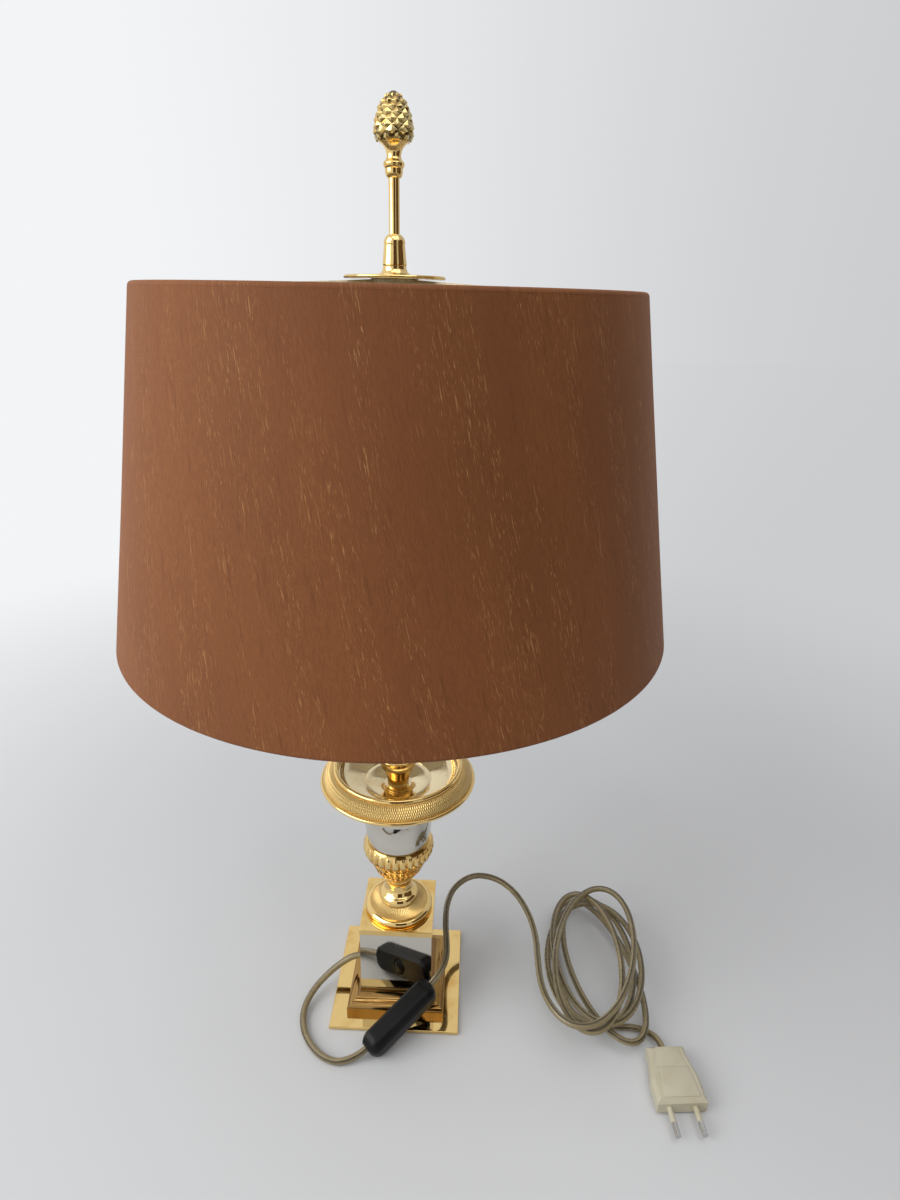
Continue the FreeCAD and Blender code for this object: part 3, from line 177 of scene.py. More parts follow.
def vectorCalc(tree, how, first, **more):
    return addNode(tree, "ShaderNodeVectorMath", {"operation": how}, in0=first, **more)


def blendColor(tree, share, first, second):
    # The mixing node's colour sockets are its seventh and eighth inputs and third output
    return addNode(tree, "ShaderNodeMix", {"data_type": "RGBA"}, in0=share, in6=first, in7=second).outputs[2]


def stepped(tree, amount, low, high, outLow=0.0, outHigh=1.0):
    item = addNode(tree, "ShaderNodeMapRange", {"interpolation_type": "SMOOTHSTEP"}, Value=amount,
                   From_Min=low, From_Max=high, To_Min=outLow, To_Max=outHigh)
    return item.outputs[0]


def within(tree, amount, low, high, soft):
    rise = stepped(tree, amount, low - soft, low + soft)
    return calc(tree, "MULTIPLY", rise, stepped(tree, amount, high + soft, high - soft))


def noise(tree, where, scale, **more):
    return addNode(tree, "ShaderNodeTexNoise", None, Vector=where, Scale=scale, **more).outputs[0]


def bumped(tree, shader, height, strength, distance):
    bump = addNode(tree, "ShaderNodeBump", None, Strength=strength, Distance=distance, Height=height)
    feed(tree, shader.inputs["Normal"], bump.outputs["Normal"])


def place(tree):
    return addNode(tree, "ShaderNodeTexCoord").outputs["Object"]


def ringAngle(tree, where):
    # Angle round the lamp's axis, with its jump at the back, and the height
    parts = addNode(tree, "ShaderNodeSeparateXYZ", None, Vector=where)
    backward = calc(tree, "MULTIPLY", parts.outputs[1], -1.0)
    return calc(tree, "ARCTAN2", parts.outputs[0], backward), parts.outputs[2]


def newGroup(name, inputs, outputs):
    group = bpy.data.node_groups.new(name, "ShaderNodeTree")
    for label, kind in inputs:
        group.interface.new_socket(label, in_out="INPUT", socket_type=kind)
    for label, kind in outputs:
        group.interface.new_socket(label, in_out="OUTPUT", socket_type=kind)
    return group, group.nodes.new("NodeGroupInput"), group.nodes.new("NodeGroupOutput")


floatKind, colorKind, vectorKind = "NodeSocketFloat", "NodeSocketColor", "NodeSocketVector"

# Smudges, hairlines and slow tarnish of every polished piece; scales are noise cells to the metre
wear = {
    "cloud": 38.0, "cloudFrom": 0.46, "cloudTo": 0.72,
    "wipe": 160.0, "wipeFrom": 0.4, "wipeTo": 0.75, "wipeBend": 1.6,
    "hair": (900, 260, 90),
    "bump": 0.12, "depth": 0.0002,
}


def makeHandledGroup():
    group, given, result = newGroup(
        "handledSurface",
        [("Vector", vectorKind), ("Color", colorKind), ("Tarnish", colorKind), ("Rough", floatKind),
         ("Spread", floatKind), ("Hair", floatKind)],
        [("Color", colorKind), ("Roughness", floatKind), ("Height", floatKind)],
    )
    where = given.outputs["Vector"]
    cloud = noise(group, where, wear["cloud"], Detail=4.0, Roughness=0.6)
    wipe = noise(group, where, wear["wipe"], Detail=3.0, Distortion=wear["wipeBend"])
    stretched = vectorCalc(group, "MULTIPLY", where, in1=wear["hair"]).outputs[0]
    hair = noise(group, stretched, 1.0, Detail=2.0)
    patch = stepped(group, cloud, wear["cloudFrom"], wear["cloudTo"])
    tint = blendColor(group, patch, given.outputs["Color"], given.outputs["Tarnish"])
    smear = stepped(group, wipe, wear["wipeFrom"], wear["wipeTo"])
    rough = calc(group, "MULTIPLY_ADD", smear, given.outputs["Spread"], given.outputs["Rough"])
    line = calc(group, "MULTIPLY", hair, given.outputs["Hair"])
    for label, amount in (("Color", tint), ("Roughness", rough), ("Height", line)):
        group.links.new(amount, result.inputs[label])
    return group


handledGroup = makeHandledGroup()


def handled(tree, color, tarnish, rough, spread, hair):
    item = addNode(tree, "ShaderNodeGroup", {"node_tree": handledGroup}, Vector=place(tree), Color=color,
                   Tarnish=tarnish, Rough=rough, Spread=spread, Hair=hair)
    return item.outputs["Color"], item.outputs["Roughness"], item.outputs["Height"]


def polished(name, color, tarnish, rough=0.05, spread=0.08, hair=0.25, metallic=1.0, **inputs):
    material, tree, shader = startMaterial(name, Metallic=metallic, **inputs)
    tint, roughness, height = handled(tree, color, tarnish, rough, spread, hair)
    drive(tree, shader, Base_Color=tint, Roughness=roughness)
    bumped(tree, shader, height, wear["bump"], wear["depth"])
    return material, tree, shader, height


# Colours of the finishes, as linear red, green and blue
finish = {
    # Painted shade: the darkest gold darkens the grooves of the chased bands
    "gold": (0.84, 0.6, 0.245), "goldTarnish": (0.72, 0.45, 0.14), "goldGrooveShade": (0.5, 0.3, 0.08),
    # A darker, more orange gold for the moulding
    "aged": (0.41, 0.24, 0.08), "agedTarnish": (0.27, 0.145, 0.04),
    # Painted shade: the darkest pine colour fills the core between the cone's scales
    "pine": (0.66, 0.51, 0.22), "recessShade": (0.17, 0.12, 0.045),
    "paleGold": (0.81, 0.68, 0.43), "paleTarnish": (0.72, 0.56, 0.31),
    "chrome": (0.67, 0.645, 0.58), "chromeTarnish": (0.63, 0.6, 0.53),
    "black": (0.007, 0.007, 0.007), "blackWorn": (0.011, 0.011, 0.011),
    "ivory": (0.52, 0.48, 0.36), "ivoryWorn": (0.47, 0.42, 0.29),
    # Painted shade: the darkest cord colour darkens the grooves between the two cores
    "cord": (0.23, 0.18, 0.09), "cordWorn": (0.3, 0.24, 0.125), "cordGrooveShade": (0.11, 0.084, 0.04),
    "silk": (0.24, 0.083, 0.026), "silkDark": (0.135, 0.045, 0.014), "silkSlub": (0.5, 0.25, 0.09),
    "silkSheen": (1.0, 0.6, 0.36),
    "steel": (0.55, 0.55, 0.54), "iron": (0.05, 0.05, 0.05),
    "glass": (1.0, 0.99, 0.96), "glassWorn": (0.96, 0.95, 0.9),
}

goldMaterial = polished("polishedGold", finish["gold"], finish["goldTarnish"])[0]
# A darker, more orange gold, given to the moulding only
agedMaterial = polished("agedGold", finish["aged"], finish["agedTarnish"], rough=0.09)[0]
paleGoldMaterial = polished("paleGold", finish["paleGold"], finish["paleTarnish"], rough=0.11)[0]
chromeMaterial = polished("mirrorChrome", finish["chrome"], finish["chromeTarnish"], rough=0.03,
                          spread=0.06)[0]
steelMaterial = polished("zincSteel", finish["steel"], finish["steel"], rough=0.25, spread=0.15)[0]
ironMaterial = polished("castBallast", finish["iron"], finish["iron"], rough=0.6, spread=0.2, hair=1.0)[0]
blackMaterial = polished("blackShell", finish["black"], finish["blackWorn"], rough=0.3, spread=0.06,
                         hair=0.05, metallic=0.0, Specular_IOR_Level=0.13)[0]
ivoryMaterial = polished("ivoryShell", finish["ivory"], finish["ivoryWorn"], rough=0.3, spread=0.1,
                         hair=0.1, metallic=0.0)[0]
print("plain finishes made")


# Chased bands: low and high are mm from the two levels that come with the band, around counts the
# waves round the lamp, and crossed is how fast they lean, in radians to the metre of height
chased = {
    "rim": {"low": 2.9, "high": -1.9, "innerR": 46.9, "outerR": 56.0, "around": 104.0, "crossed": 900.0},
    "foot": {"low": 5.2, "high": 11.5, "innerR": 13.6, "outerR": 22.6, "around": 40.0, "crossed": 300.0},
    "soft": 0.35,
    "relief": 3.0, "bump": 0.65, "depth": 0.0003,
    "rough": 0.06, "roughMore": 0.26,
    # share of painted shade in the grooves
    "shadeInGrooves": 0.6,
}


def chasedMaterial(name, band, lowFrom, highFrom):
    # Gold that turns to a satin pattern of crossed lines inside the band, with painted shade darkening the
    # grooves of the lines
    material, tree, shader, height = polished(name, finish["gold"], finish["goldTarnish"])
    where = place(tree)
    angle, level = ringAngle(tree, where)
    flat = vectorCalc(tree, "MULTIPLY", where, in1=(1, 1, 0)).outputs[0]
    radius = vectorCalc(tree, "LENGTH", flat).outputs["Value"]
    soft = chased["soft"] * mm
    atLevel = within(tree, level, lowFrom + band["low"] * mm, highFrom + band["high"] * mm, soft)
    atRadius = within(tree, radius, band["innerR"] * mm, band["outerR"] * mm, soft)
    inside = calc(tree, "MULTIPLY", atLevel, atRadius)
    rise = calc(tree, "MULTIPLY", level, band["crossed"])
    around = calc(tree, "MULTIPLY", angle, band["around"])
    one = calc(tree, "SINE", calc(tree, "ADD", around, rise))
    other = calc(tree, "SINE", calc(tree, "SUBTRACT", around, rise))
    weave = calc(tree, "ABSOLUTE", calc(tree, "MULTIPLY", one, other))
    relief = calc(tree, "MULTIPLY_ADD", calc(tree, "MULTIPLY", weave, inside), chased["relief"], height)
    rough = calc(tree, "MULTIPLY_ADD", inside, chased["roughMore"], chased["rough"])
    # Painted shade: the grooves between the crossed lines are tinted darker
    dark = calc(tree, "MULTIPLY", calc(tree, "SUBTRACT", 1.0, weave), inside)
    tint = blendColor(tree, calc(tree, "MULTIPLY", dark, chased["shadeInGrooves"]), finish["gold"],
                      finish["goldGrooveShade"])
    drive(tree, shader, Base_Color=tint, Roughness=rough)
    bumped(tree, shader, relief, chased["bump"], chased["depth"])
    return material


rimLow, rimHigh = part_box("urn_rim")
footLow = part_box("urn_foot")[0]
rimMaterial = chasedMaterial("chasedRim", chased["rim"], rimLow[2], rimHigh[2])
footMaterial = chasedMaterial("chasedFoot", chased["foot"], footLow[2], footLow[2])


# Plain pieces: grain is noise cells to the metre, and depth the height of the grain in metres
plainLooks = {
    "paperLining": {"color": (0.72, 0.66, 0.55), "rough": 0.8, "grain": 900.0, "depth": 0.0002},
    "baseFelt": {"color": (0.02, 0.035, 0.025), "rough": 0.95, "grain": 1500.0, "depth": 0.0006},
    "leadSheath": {"color": (0.2, 0.2, 0.2), "rough": 0.5, "grain": 600.0, "depth": 0.0001},
    "candleCard": {"color": (0.75, 0.7, 0.55), "rough": 0.45, "grain": 700.0, "depth": 0.0001},
    "lacqueredWire": {"color": (0.62, 0.52, 0.33), "rough": 0.3, "grain": 500.0, "depth": 0.0001},
}
grain = {"darker": 0.72, "from": 0.35, "to": 0.65, "roughMore": 0.2, "bump": 0.4}


def plainMaterial(name, look):
    material, tree, shader = startMaterial(name)
    cloud = noise(tree, place(tree), look["grain"], Detail=5.0)
    darker = tuple(grain["darker"] * part for part in look["color"])
    tint = blendColor(tree, stepped(tree, cloud, grain["from"], grain["to"]), darker, look["color"])
    least = look["rough"] - grain["roughMore"] / 2
    roughness = calc(tree, "MULTIPLY_ADD", cloud, grain["roughMore"], least)
    drive(tree, shader, Base_Color=tint, Roughness=roughness)
    bumped(tree, shader, cloud, grain["bump"], look["depth"])
    return material


# Clear glass of the bulbs, with a few wiped smears
glass = {"bend": 1.45, "smear": 90.0, "from": 0.4, "to": 0.8, "rough": 0.02, "roughest": 0.1}


def glassMaterial():
    material, tree, shader = startMaterial("bulbGlass", Transmission_Weight=1.0, IOR=glass["bend"])
    smear = noise(tree, place(tree), glass["smear"], Detail=3.0)
    roughness = stepped(tree, smear, glass["from"], glass["to"], glass["rough"], glass["roughest"])
    tint = blendColor(tree, smear, finish["glass"], finish["glassWorn"])
    drive(tree, shader, Base_Color=tint, Roughness=roughness)
    return material


plain = {name: plainMaterial(name, look) for name, look in plainLooks.items()}
plain["bulbGlass"] = glassMaterial()


# Slubbed silk: each streak has its noise cells to the metre across and along the cloth, the noise
# at which it starts and is full, and its seed; the shares say how far each colours the cloth
silk = {
    "perRadian": 0.16, "lean": 0.2,
    "bands": (75.0, 7.0, 0.4, 0.62, 12.3),
    "longSlub": (1350.0, 85.0, 0.6, 0.72, 1.7), "longShare": 0.5,
    "shortSlub": (1700.0, 230.0, 0.61, 0.73, 5.3), "shortShare": 0.65,
    "shadowSlub": (480.0, 40.0, 0.58, 0.74, 9.1), "shadowShare": 0.6,
    "broad": (14.0, 5.0, 0.3, 0.7, 3.4), "broadShare": 0.45,
    "yarn": (2600.0, 260.0, 0.3, 0.7, 7.7), "yarnShare": 0.5,
    "weft": 420.0, "weftBend": 1.2,
    "rough": 0.66, "slubRough": -0.12,
    "slubRelief": 0.9, "weftRelief": 0.16, "yarnRelief": 0.25,
    "bump": 0.5, "depth": 0.0004,
}


def silkMaterial():
    material, tree, shader = startMaterial("slubbedSilk", Sheen_Weight=0.1, Sheen_Roughness=0.5,
                                           Sheen_Tint=finish["silkSheen"], Specular_IOR_Level=0.2)
    where = place(tree)
    angle, high = ringAngle(tree, where)
    along = calc(tree, "MULTIPLY", angle, silk["perRadian"])
    leaning = calc(tree, "MULTIPLY_ADD", high, silk["lean"], along)

    def streaks(across, lengthwise, faint, full, seed):
        spot = addNode(tree, "ShaderNodeCombineXYZ", None, X=calc(tree, "MULTIPLY", leaning, across),
                       Y=calc(tree, "MULTIPLY", high, lengthwise), Z=seed)
        return stepped(tree, noise(tree, spot.outputs[0], 1.0, Detail=2.0, Roughness=0.55), faint, full)

    # Slubs come in leaning bands, with calmer cloth between them
    bands = streaks(*silk["bands"])
    longSlub = calc(tree, "MULTIPLY", streaks(*silk["longSlub"]), bands)
    shortSlub = calc(tree, "MULTIPLY", streaks(*silk["shortSlub"]), bands)
    shadowSlub, broad, yarn = (streaks(*silk[name]) for name in ("shadowSlub", "broad", "yarn"))
    weft = addNode(tree, "ShaderNodeTexWave", {"wave_type": "BANDS", "bands_direction": "Z"}, Vector=where,
                   Scale=silk["weft"], Distortion=silk["weftBend"], Detail=2.0, Detail_Scale=2.0)
    ground = finish["silk"]
    for mask, share, color in (
        (yarn, "yarnShare", "silkDark"), (broad, "broadShare", "silkDark"),
        (shadowSlub, "shadowShare", "silkDark"), (longSlub, "longShare", "silkSlub"),
        (shortSlub, "shortShare", "silkSlub"),
    ):
        ground = blendColor(tree, calc(tree, "MULTIPLY", mask, silk[share]), ground, finish[color])
    slubs = calc(tree, "ADD", longSlub, shortSlub)
    rough = calc(tree, "MULTIPLY_ADD", slubs, silk["slubRough"], silk["rough"])
    drive(tree, shader, Base_Color=ground, Roughness=rough)
    height = calc(tree, "MULTIPLY", weft.outputs["Fac"], silk["weftRelief"])
    height = calc(tree, "MULTIPLY_ADD", slubs, silk["slubRelief"], height)
    height = calc(tree, "MULTIPLY_ADD", yarn, silk["yarnRelief"], height)
    bumped(tree, shader, height, silk["bump"], silk["depth"])
    return material


# Shade: silk stretched over a tapered wall, with a rolled hem at each edge
shade = {
    "lowZ": 333.2, "highZ": 529.8,
    "lowR": 172.3, "highR": 140.3,
    "thick": 0.7,
    "rounds": 192,
    "rows": 40,
    "wallAngle": 50, "hemAngle": 60,
    "hemLowR": 169.8, "hemHighR": 137.8,
    "hemThick": 2.45,
    "hemRounds": 16,
    "waver": 0.25,      # slow wander of the stretched cloth, in mm
    "waves": 5, "waveStart": 1.1,
    "ripples": 11, "rippleLean": 7, "rippleShare": 0.6,
    "flat": (0.99, 0.3),
}


def waver(wall, tall):
    # Draws the cloth in a little between its edges, by slow waves round the shade
    for vertex in wall.data.vertices:
        spot = vertex.co
        around = math.atan2(spot.y, spot.x)
        share = (spot.z - shade["lowZ"] * mm) / tall
        calm = math.sin(math.pi * share)
        ripple = math.sin(shade["ripples"] * around + shade["rippleLean"] * share)
        drift = math.sin(shade["waves"] * around + shade["waveStart"]) + shade["rippleShare"] * ripple
        most = 1 + shade["rippleShare"]
        length = math.hypot(spot.x, spot.y)
        drawn = 1 - shade["waver"] * mm * calm * (most - drift) / 2 / length
        spot.x *= drawn
        spot.y *= drawn


def addHem(name, radius, level, material):
    clearPick()
    bpy.ops.mesh.primitive_torus_add(major_segments=shade["rounds"], minor_segments=shade["hemRounds"],
                                     major_radius=radius * mm, minor_radius=shade["hemThick"] * mm,
                                     location=(0, 0, level * mm))
    hem = settle(named(name))
    smooth(hem, shade["hemAngle"])
    setMaterial(hem, material)
    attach(hem, "shade")
    return hem


def addShade():
    cloth = silkMaterial()
    tall = (shade["highZ"] - shade["lowZ"]) * mm
    middle = (shade["highZ"] + shade["lowZ"]) / 2 * mm
    clearPick()
    bpy.ops.mesh.primitive_cone_add(vertices=shade["rounds"], radius1=shade["lowR"] * mm,
                                    radius2=shade["highR"] * mm, depth=tall, end_fill_type="NOTHING",
                                    location=(0, 0, middle))
    wall = settle(named("silkShade"))
    bpy.ops.object.mode_set(mode="EDIT")
    for cut in range(1, shade["rows"]):
        bpy.ops.mesh.select_all(action="SELECT")
        level = shade["lowZ"] * mm + tall * cut / shade["rows"]
        bpy.ops.mesh.bisect(plane_co=(0, 0, level), plane_no=(0, 0, 1))
    bpy.ops.object.mode_set(mode="OBJECT")
    waver(wall, tall)
    solid = wall.modifiers.new("thick", "SOLIDIFY")
    solid.thickness = shade["thick"] * mm
    solid.offset = -1
    applyAll(wall)
    smooth(wall, shade["wallAngle"])
    setMaterial(wall, cloth)
    hems = [addHem("lowerHem", shade["hemLowR"], shade["lowZ"], cloth),
            addHem("upperHem", shade["hemHighR"], shade["highZ"], cloth)]
    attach(wall, "shade")
    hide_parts("shade_cloth")


addShade()
print("shade made")


# Cords: their routes follow the solids that they replace, in mm
cord = {
    "radius": 2.5,
    "leftRoute": [
        (-21.5, 0, 24.6), (-35, 0, 24.6), (-46.5, -3.5, 19.5), (-57.5, -10, 13), (-68, -21, 7),
        (-73, -37, 3.5), (-69, -54, 2.6), (-59, -68, 2.6), (-47.5, -76, 2.6), (-36, -78.5, 3),
    ],
    "archRoute": [
        (37, -22.5, 39.8), (39.3, -13, 42), (38.6, -1, 44.5), (37, 14, 46.5), (37, 33, 49.5),
        (43, 51, 52.5), (59, 64, 54.5), (79, 62, 54), (94.5, 50.5, 51.5), (104, 36.5, 47.5),
        (110, 21.5, 43),
    ],
    "tailRoute": [
        (141, -29.5, 2.8), (151, -35.5, 2.8), (162.5, -38.2, 2.8), (174.5, -38.4, 2.8),
        (187, -38.2, 3.1), (196.5, -42.8, 5),
    ],
    "step": 8.0,        # straight lead beside the switch, and beside the hank's ends
    "outside": 5.0,     # straight length past each end of the hank's loops
    "plugLead": 11.0,   # straight lead into the plug
    "perTurn": 16,      # control points to a loop of the hank
    "roundness": 5, "smoothness": 8,
    "rough": 0.26, "roughMore": 0.2, "hair": 0.4,
    "coat": 0.25, "coatRough": 0.2,
    "grooveTo": 0.42, "grooveRelief": 3.0, "bump": 0.9, "depth": 0.0007,
}

# The hank in mm and degrees, with longStart in radians: step is the fall of each loop, and the rates
# are turns of the slow waves in each loop
hank = {
    "x": 153.0, "y": 2.0, "runX": 2.9, "runY": 2.6,
    "halfLong": 67.0, "halfWide": 32.0, "varyLong": 7.0, "varyWide": 8.0,
    "step": 6.3, "ease": 4.6, "start": 285.0, "lie": 101.0, "turn": 3.4, "swing": 11.0,
    "swingRate": 0.4, "longRate": 0.27, "longStart": 0.3, "wideRate": 0.37,
    "loops": 5, "base": 3.1,
}

# Middle of the switch and rear of the plug, with their turns; entry is how far along its axis from
# there the cord ends
switch = {"x": 4.8, "y": -51.5, "z": 20.4, "yaw": 40.0, "pitch": 22.3, "entry": 29.1}
plug = {"x": 205.0, "y": -60.0, "z": 6.9, "yaw": 85.4, "entry": 2.9}


def hankPoint(done):
    # A point of the hank after so many loops, by the same formula as the solid's
    left = hank["loops"] - done
    around = math.radians(hank["start"]) + math.tau * done
    swing = hank["swing"] * math.sin(math.tau * hank["swingRate"] * done)
    lie = math.radians(hank["turn"] * done - hank["lie"] - swing)
    varyLong = hank["varyLong"] * math.sin(math.tau * hank["longRate"] * done + hank["longStart"])
    varyWide = hank["varyWide"] * math.cos(math.tau * hank["wideRate"] * done)
    nearEnd = min(1, 2 * left)
    ease = hank["ease"] * nearEnd**2 * (3 - 2 * nearEnd)
    middle = Vector((hank["x"] + hank["runX"] * done, hank["y"] + hank["runY"] * done,
                     hank["base"] + hank["step"] * left + ease))
    along = (hank["halfLong"] + varyLong) * math.cos(around)
    across = (hank["halfWide"] + varyWide) * math.sin(around)
    longWay = Vector((math.cos(lie), math.sin(lie), 0))
    return middle + longWay * along + Vector((-longWay.y, longWay.x, 0)) * across


def hankWay(done):
    tiny = 1e-4
    back, ahead = max(0, done - tiny), min(hank["loops"], done + tiny)
    return (hankPoint(ahead) - hankPoint(back)).normalized()


def cordMaterial():
    material, tree, shader = startMaterial("bronzeSheath", Coat_Weight=cord["coat"],
                                           Coat_Roughness=cord["coatRough"])
    tint, roughness, height = handled(tree, finish["cord"], finish["cordWorn"], cord["rough"],
                                      cord["roughMore"], cord["hair"])
    layout = addNode(tree, "ShaderNodeTexCoord").outputs["UV"]
    around = addNode(tree, "ShaderNodeSeparateXYZ", None, Vector=layout).outputs[1]
    turns = calc(tree, "ABSOLUTE", calc(tree, "COSINE", calc(tree, "MULTIPLY", around, math.tau)))
    ridge = stepped(tree, turns, 0.0, cord["grooveTo"])    # 0 in the two grooves between the cores
    # Painted shade darkens the two grooves between the cores
    shaded = blendColor(tree, ridge, finish["cordGrooveShade"], tint)
    drive(tree, shader, Base_Color=shaded, Roughness=roughness)
    relief = calc(tree, "MULTIPLY_ADD", ridge, cord["grooveRelief"], height)
    bumped(tree, shader, relief, cord["bump"], cord["depth"])
    return material


cordFinish = cordMaterial()


def addCord(name, points, replaced):
    curve = bpy.data.curves.new(name, "CURVE")
    curve.dimensions = "3D"
    curve.bevel_depth = cord["radius"] * mm
    curve.bevel_resolution = cord["roundness"]
    curve.resolution_u = cord["smoothness"]
    curve.use_fill_caps = True
    spline = curve.splines.new("NURBS")
    spline.points.add(len(points) - 1)
    for spot, point in zip(spline.points, points):
        spot.co = (*(Vector(point) * mm), 1)
    spline.order_u = 3
    spline.use_endpoint_u = True
    piece = bpy.data.objects.new(name, curve)
    bpy.context.scene.collection.objects.link(piece)
    setMaterial(piece, cordFinish)
    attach(piece, "lamp")
    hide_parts(*replaced)


def addCords():
    yaw = Matrix.Rotation(math.radians(switch["yaw"]), 3, "Z")
    axis = yaw @ Matrix.Rotation(math.radians(-switch["pitch"]), 3, "Y") @ Vector((1, 0, 0))
    middle = Vector((switch["x"], switch["y"], switch["z"]))
    lowEnd, highEnd = middle - axis * switch["entry"], middle + axis * switch["entry"]
    step = cord["step"]
    left = [*cord["leftRoute"], lowEnd - axis * step, lowEnd]
    addCord("cordToSwitch", left, ["cord_lamp_to_switch"])

    facing = Matrix.Rotation(math.radians(-plug["yaw"]), 3, "Z") @ Vector((1, 0, 0))
    plugEnd = Vector((plug["x"], plug["y"], plug["z"])) + facing * plug["entry"]
    loops, perTurn = hank["loops"], cord["perTurn"]
    start = hankPoint(0) - hankWay(0) * cord["outside"]
    stop = hankPoint(loops) + hankWay(loops) * cord["outside"]
    # Control points stand a little outside the loops, because the spline cuts inside them
    swell = 1 / math.cos(math.pi / perTurn)**2
    turns = []
    for index in range(1, loops * perTurn):
        done = index / perTurn
        point = hankPoint(done)
        hub = Vector((hank["x"] + hank["runX"] * done, hank["y"] + hank["runY"] * done, point.z))
        turns.append(hub + (point - hub) * (1 + (swell - 1) / 2))
    route = [highEnd, highEnd + axis * step, *cord["archRoute"], start - hankWay(0) * step, start, *turns,
             stop, stop + hankWay(loops) * step, *cord["tailRoute"],
             plugEnd - facing * cord["plugLead"], plugEnd]
    addCord("cordToPlug", route, ["cord_switch_to_hank", "cord_hank", "cord_hank_to_plug"])


addCords()
print("cords laid")


# Pine-cone finial: rows of pointed scales over the turned cone, each tipped outwards at its top;
# the profile gives mm above the finial's collar and mm of radius
pine = {
    "rows": 8, "around": 10,
    "lowZ": 6.2, "highZ": 26.2,
    "proud": 1.5, "cover": 0.54, "tilt": 9.0, "belly": 10.2,
    "leastSize": 0.55, "tip": 0.12,
    "edge": 0.16, "edgeSteps": 2, "angle": 40,
    "slopeReach": 0.8,
    "coreFrom": 5.0,
    "rough": 0.14, "roughMore": 0.12, "coreRough": 0.1,
    "profile": [
        (0.0, 4.0), (4.6, 6.8), (6.4, 9.2), (9.2, 10.3), (14.4, 9.95), (19.4, 8.5), (22.1, 7.35), (24.5, 5.9),
        (26.5, 4.0), (28.3, 1.6),
    ],
}


def pineRadius(level):
    for (lowZ, lowR), (highZ, highR) in zip(pine["profile"], pine["profile"][1:]):
        if level <= highZ:
            return lowR + (highR - lowR) * (level - lowZ) / (highZ - lowZ)
    return pine["profile"][-1][1]


def scaleTurn(around, slope):
    # Axes of one scale: up the cone, round it, and outwards
    tilt = math.radians(pine["tilt"])
    flatWay = Vector((math.cos(around), math.sin(around), 0))
    facing = flatWay * math.cos(slope) - Vector((0, 0, math.sin(slope)))
    rising = (Vector((0, 0, 1)) - facing * facing.z).normalized()
    up = rising * math.cos(tilt) + facing * math.sin(tilt)
    outward = facing * math.cos(tilt) - rising * math.sin(tilt)
    return Matrix((up, outward.cross(up), outward)).transposed().to_4x4()


def addPineCone():
    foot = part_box("finial_collar")[1][2]
    step = (pine["highZ"] - pine["lowZ"]) / (pine["rows"] - 1)
    reach = pine["slopeReach"]
    scales = []
    for row in range(pine["rows"]):
        level = pine["lowZ"] + step * row
        radius = pineRadius(level)
        slope = math.atan2(pineRadius(level + reach) - pineRadius(level - reach), 2 * reach)
        size = pine["leastSize"] + (1 - pine["leastSize"]) * radius / pine["belly"]
        half = math.tau * radius / pine["around"] * pine["cover"]
        stretch = Matrix.Diagonal((step * size * mm, half * mm, pine["proud"] * size * mm, 1))
        for index in range(pine["around"]):
            around = math.tau * (index + 0.5 * (row % 2)) / pine["around"]
            clearPick()
            bpy.ops.mesh.primitive_cone_add(vertices=4, radius1=1, radius2=pine["tip"], depth=1)
            scale = bpy.context.object
            spot = (radius * math.cos(around) * mm, radius * math.sin(around) * mm, foot + level * mm)
            scale.matrix_world = Matrix.Translation(spot) @ scaleTurn(around, slope) @ stretch
            scales.append(settle(scale))
    relief = joined("pineScales", scales)
    bevelled(relief, pine["edge"], pine["edgeSteps"])
    smooth(relief, pine["angle"])
    setMaterial(relief, pineMaterial)
    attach(relief, "finial")


def coreMaterial():
    # Gold neck, and painted shade on the core between the scales above it
    material, tree, shader = polished("pineCore", finish["gold"], finish["goldTarnish"],
                                      rough=pine["coreRough"])[:3]
    level = ringAngle(tree, place(tree))[1]
    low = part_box("finial_collar")[1][2] + pine["coreFrom"] * mm
    tint = blendColor(tree, stepped(tree, level, low, low + mm), finish["gold"], finish["recessShade"])
    drive(tree, shader, Base_Color=tint)
    return material


pineMaterial = polished("pineGold", finish["pine"], finish["goldTarnish"], rough=pine["rough"],
                        spread=pine["roughMore"])[0]
addPineCone()
print("pine cone made")


# Finishes of the carried-over pieces
finishes = {
    agedMaterial: ["base_moulding"],
    goldMaterial: ["base_plate", "cap_band", "urn_collar", "gadroon_cup", "stem_cup", "stem_tube",
                   "height_rod", "shade_carrier", "shade_disc", "bell_nut", "finial_collar", "cluster_hub",
                   "cluster_arm_left", "cluster_arm_right", "candle_cup_left", "candle_cup_right", "rod_nut",
                   "clamp_screw", "cap_plate"],
    rimMaterial: ["urn_rim"],
    footMaterial: ["urn_foot"],
    paleGoldMaterial: ["urn_dish"],
    coreMaterial(): ["pine_finial"],
    chromeMaterial: ["pedestal_die", "urn_bell"],
    steelMaterial: ["base_screws", "tie_tube", "tie_nut", "tie_washer", "bell_spacer", "bulb_cap_left",
                    "bulb_cap_right", "plug_pins"],
    ironMaterial: ["pedestal_ballast"],
    plain["baseFelt"]: ["base_felt"],
    plain["paperLining"]: ["shade_lining"],
    plain["lacqueredWire"]: ["shade_bottom_ring", "shade_spider"],
    plain["candleCard"]: ["candle_sleeve_left", "candle_sleeve_right"],
    plain["leadSheath"]: ["lamp_leads"],
    plain["bulbGlass"]: ["bulb_glass_left", "bulb_glass_right"],
    blackMaterial: ["lampholder_left", "lampholder_right", "switch_back_shell", "switch_front_shell",
                    "switch_rocker", "cord_bush"],
    ivoryMaterial: ["plug_body", "plug_pin_sleeves"],
}
for material, names in finishes.items():
    for name in names:
        setMaterial(nodes[name], material)
print("pieces finished")


# Raised panels moulded on the plug's upper face; lengths run from its rear face
panels = {
    "rear": {"from": 1.6, "to": 17.0, "wideFrom": 17.0, "wideTo": 22.0, "proud": 0.5},
    "front": {"from": 17.4, "to": 39.0, "wideFrom": 22.0, "wideTo": 26.0, "proud": 0.9},
    "sunk": 0.6,
    "round": 0.25, "roundSteps": 3,
}


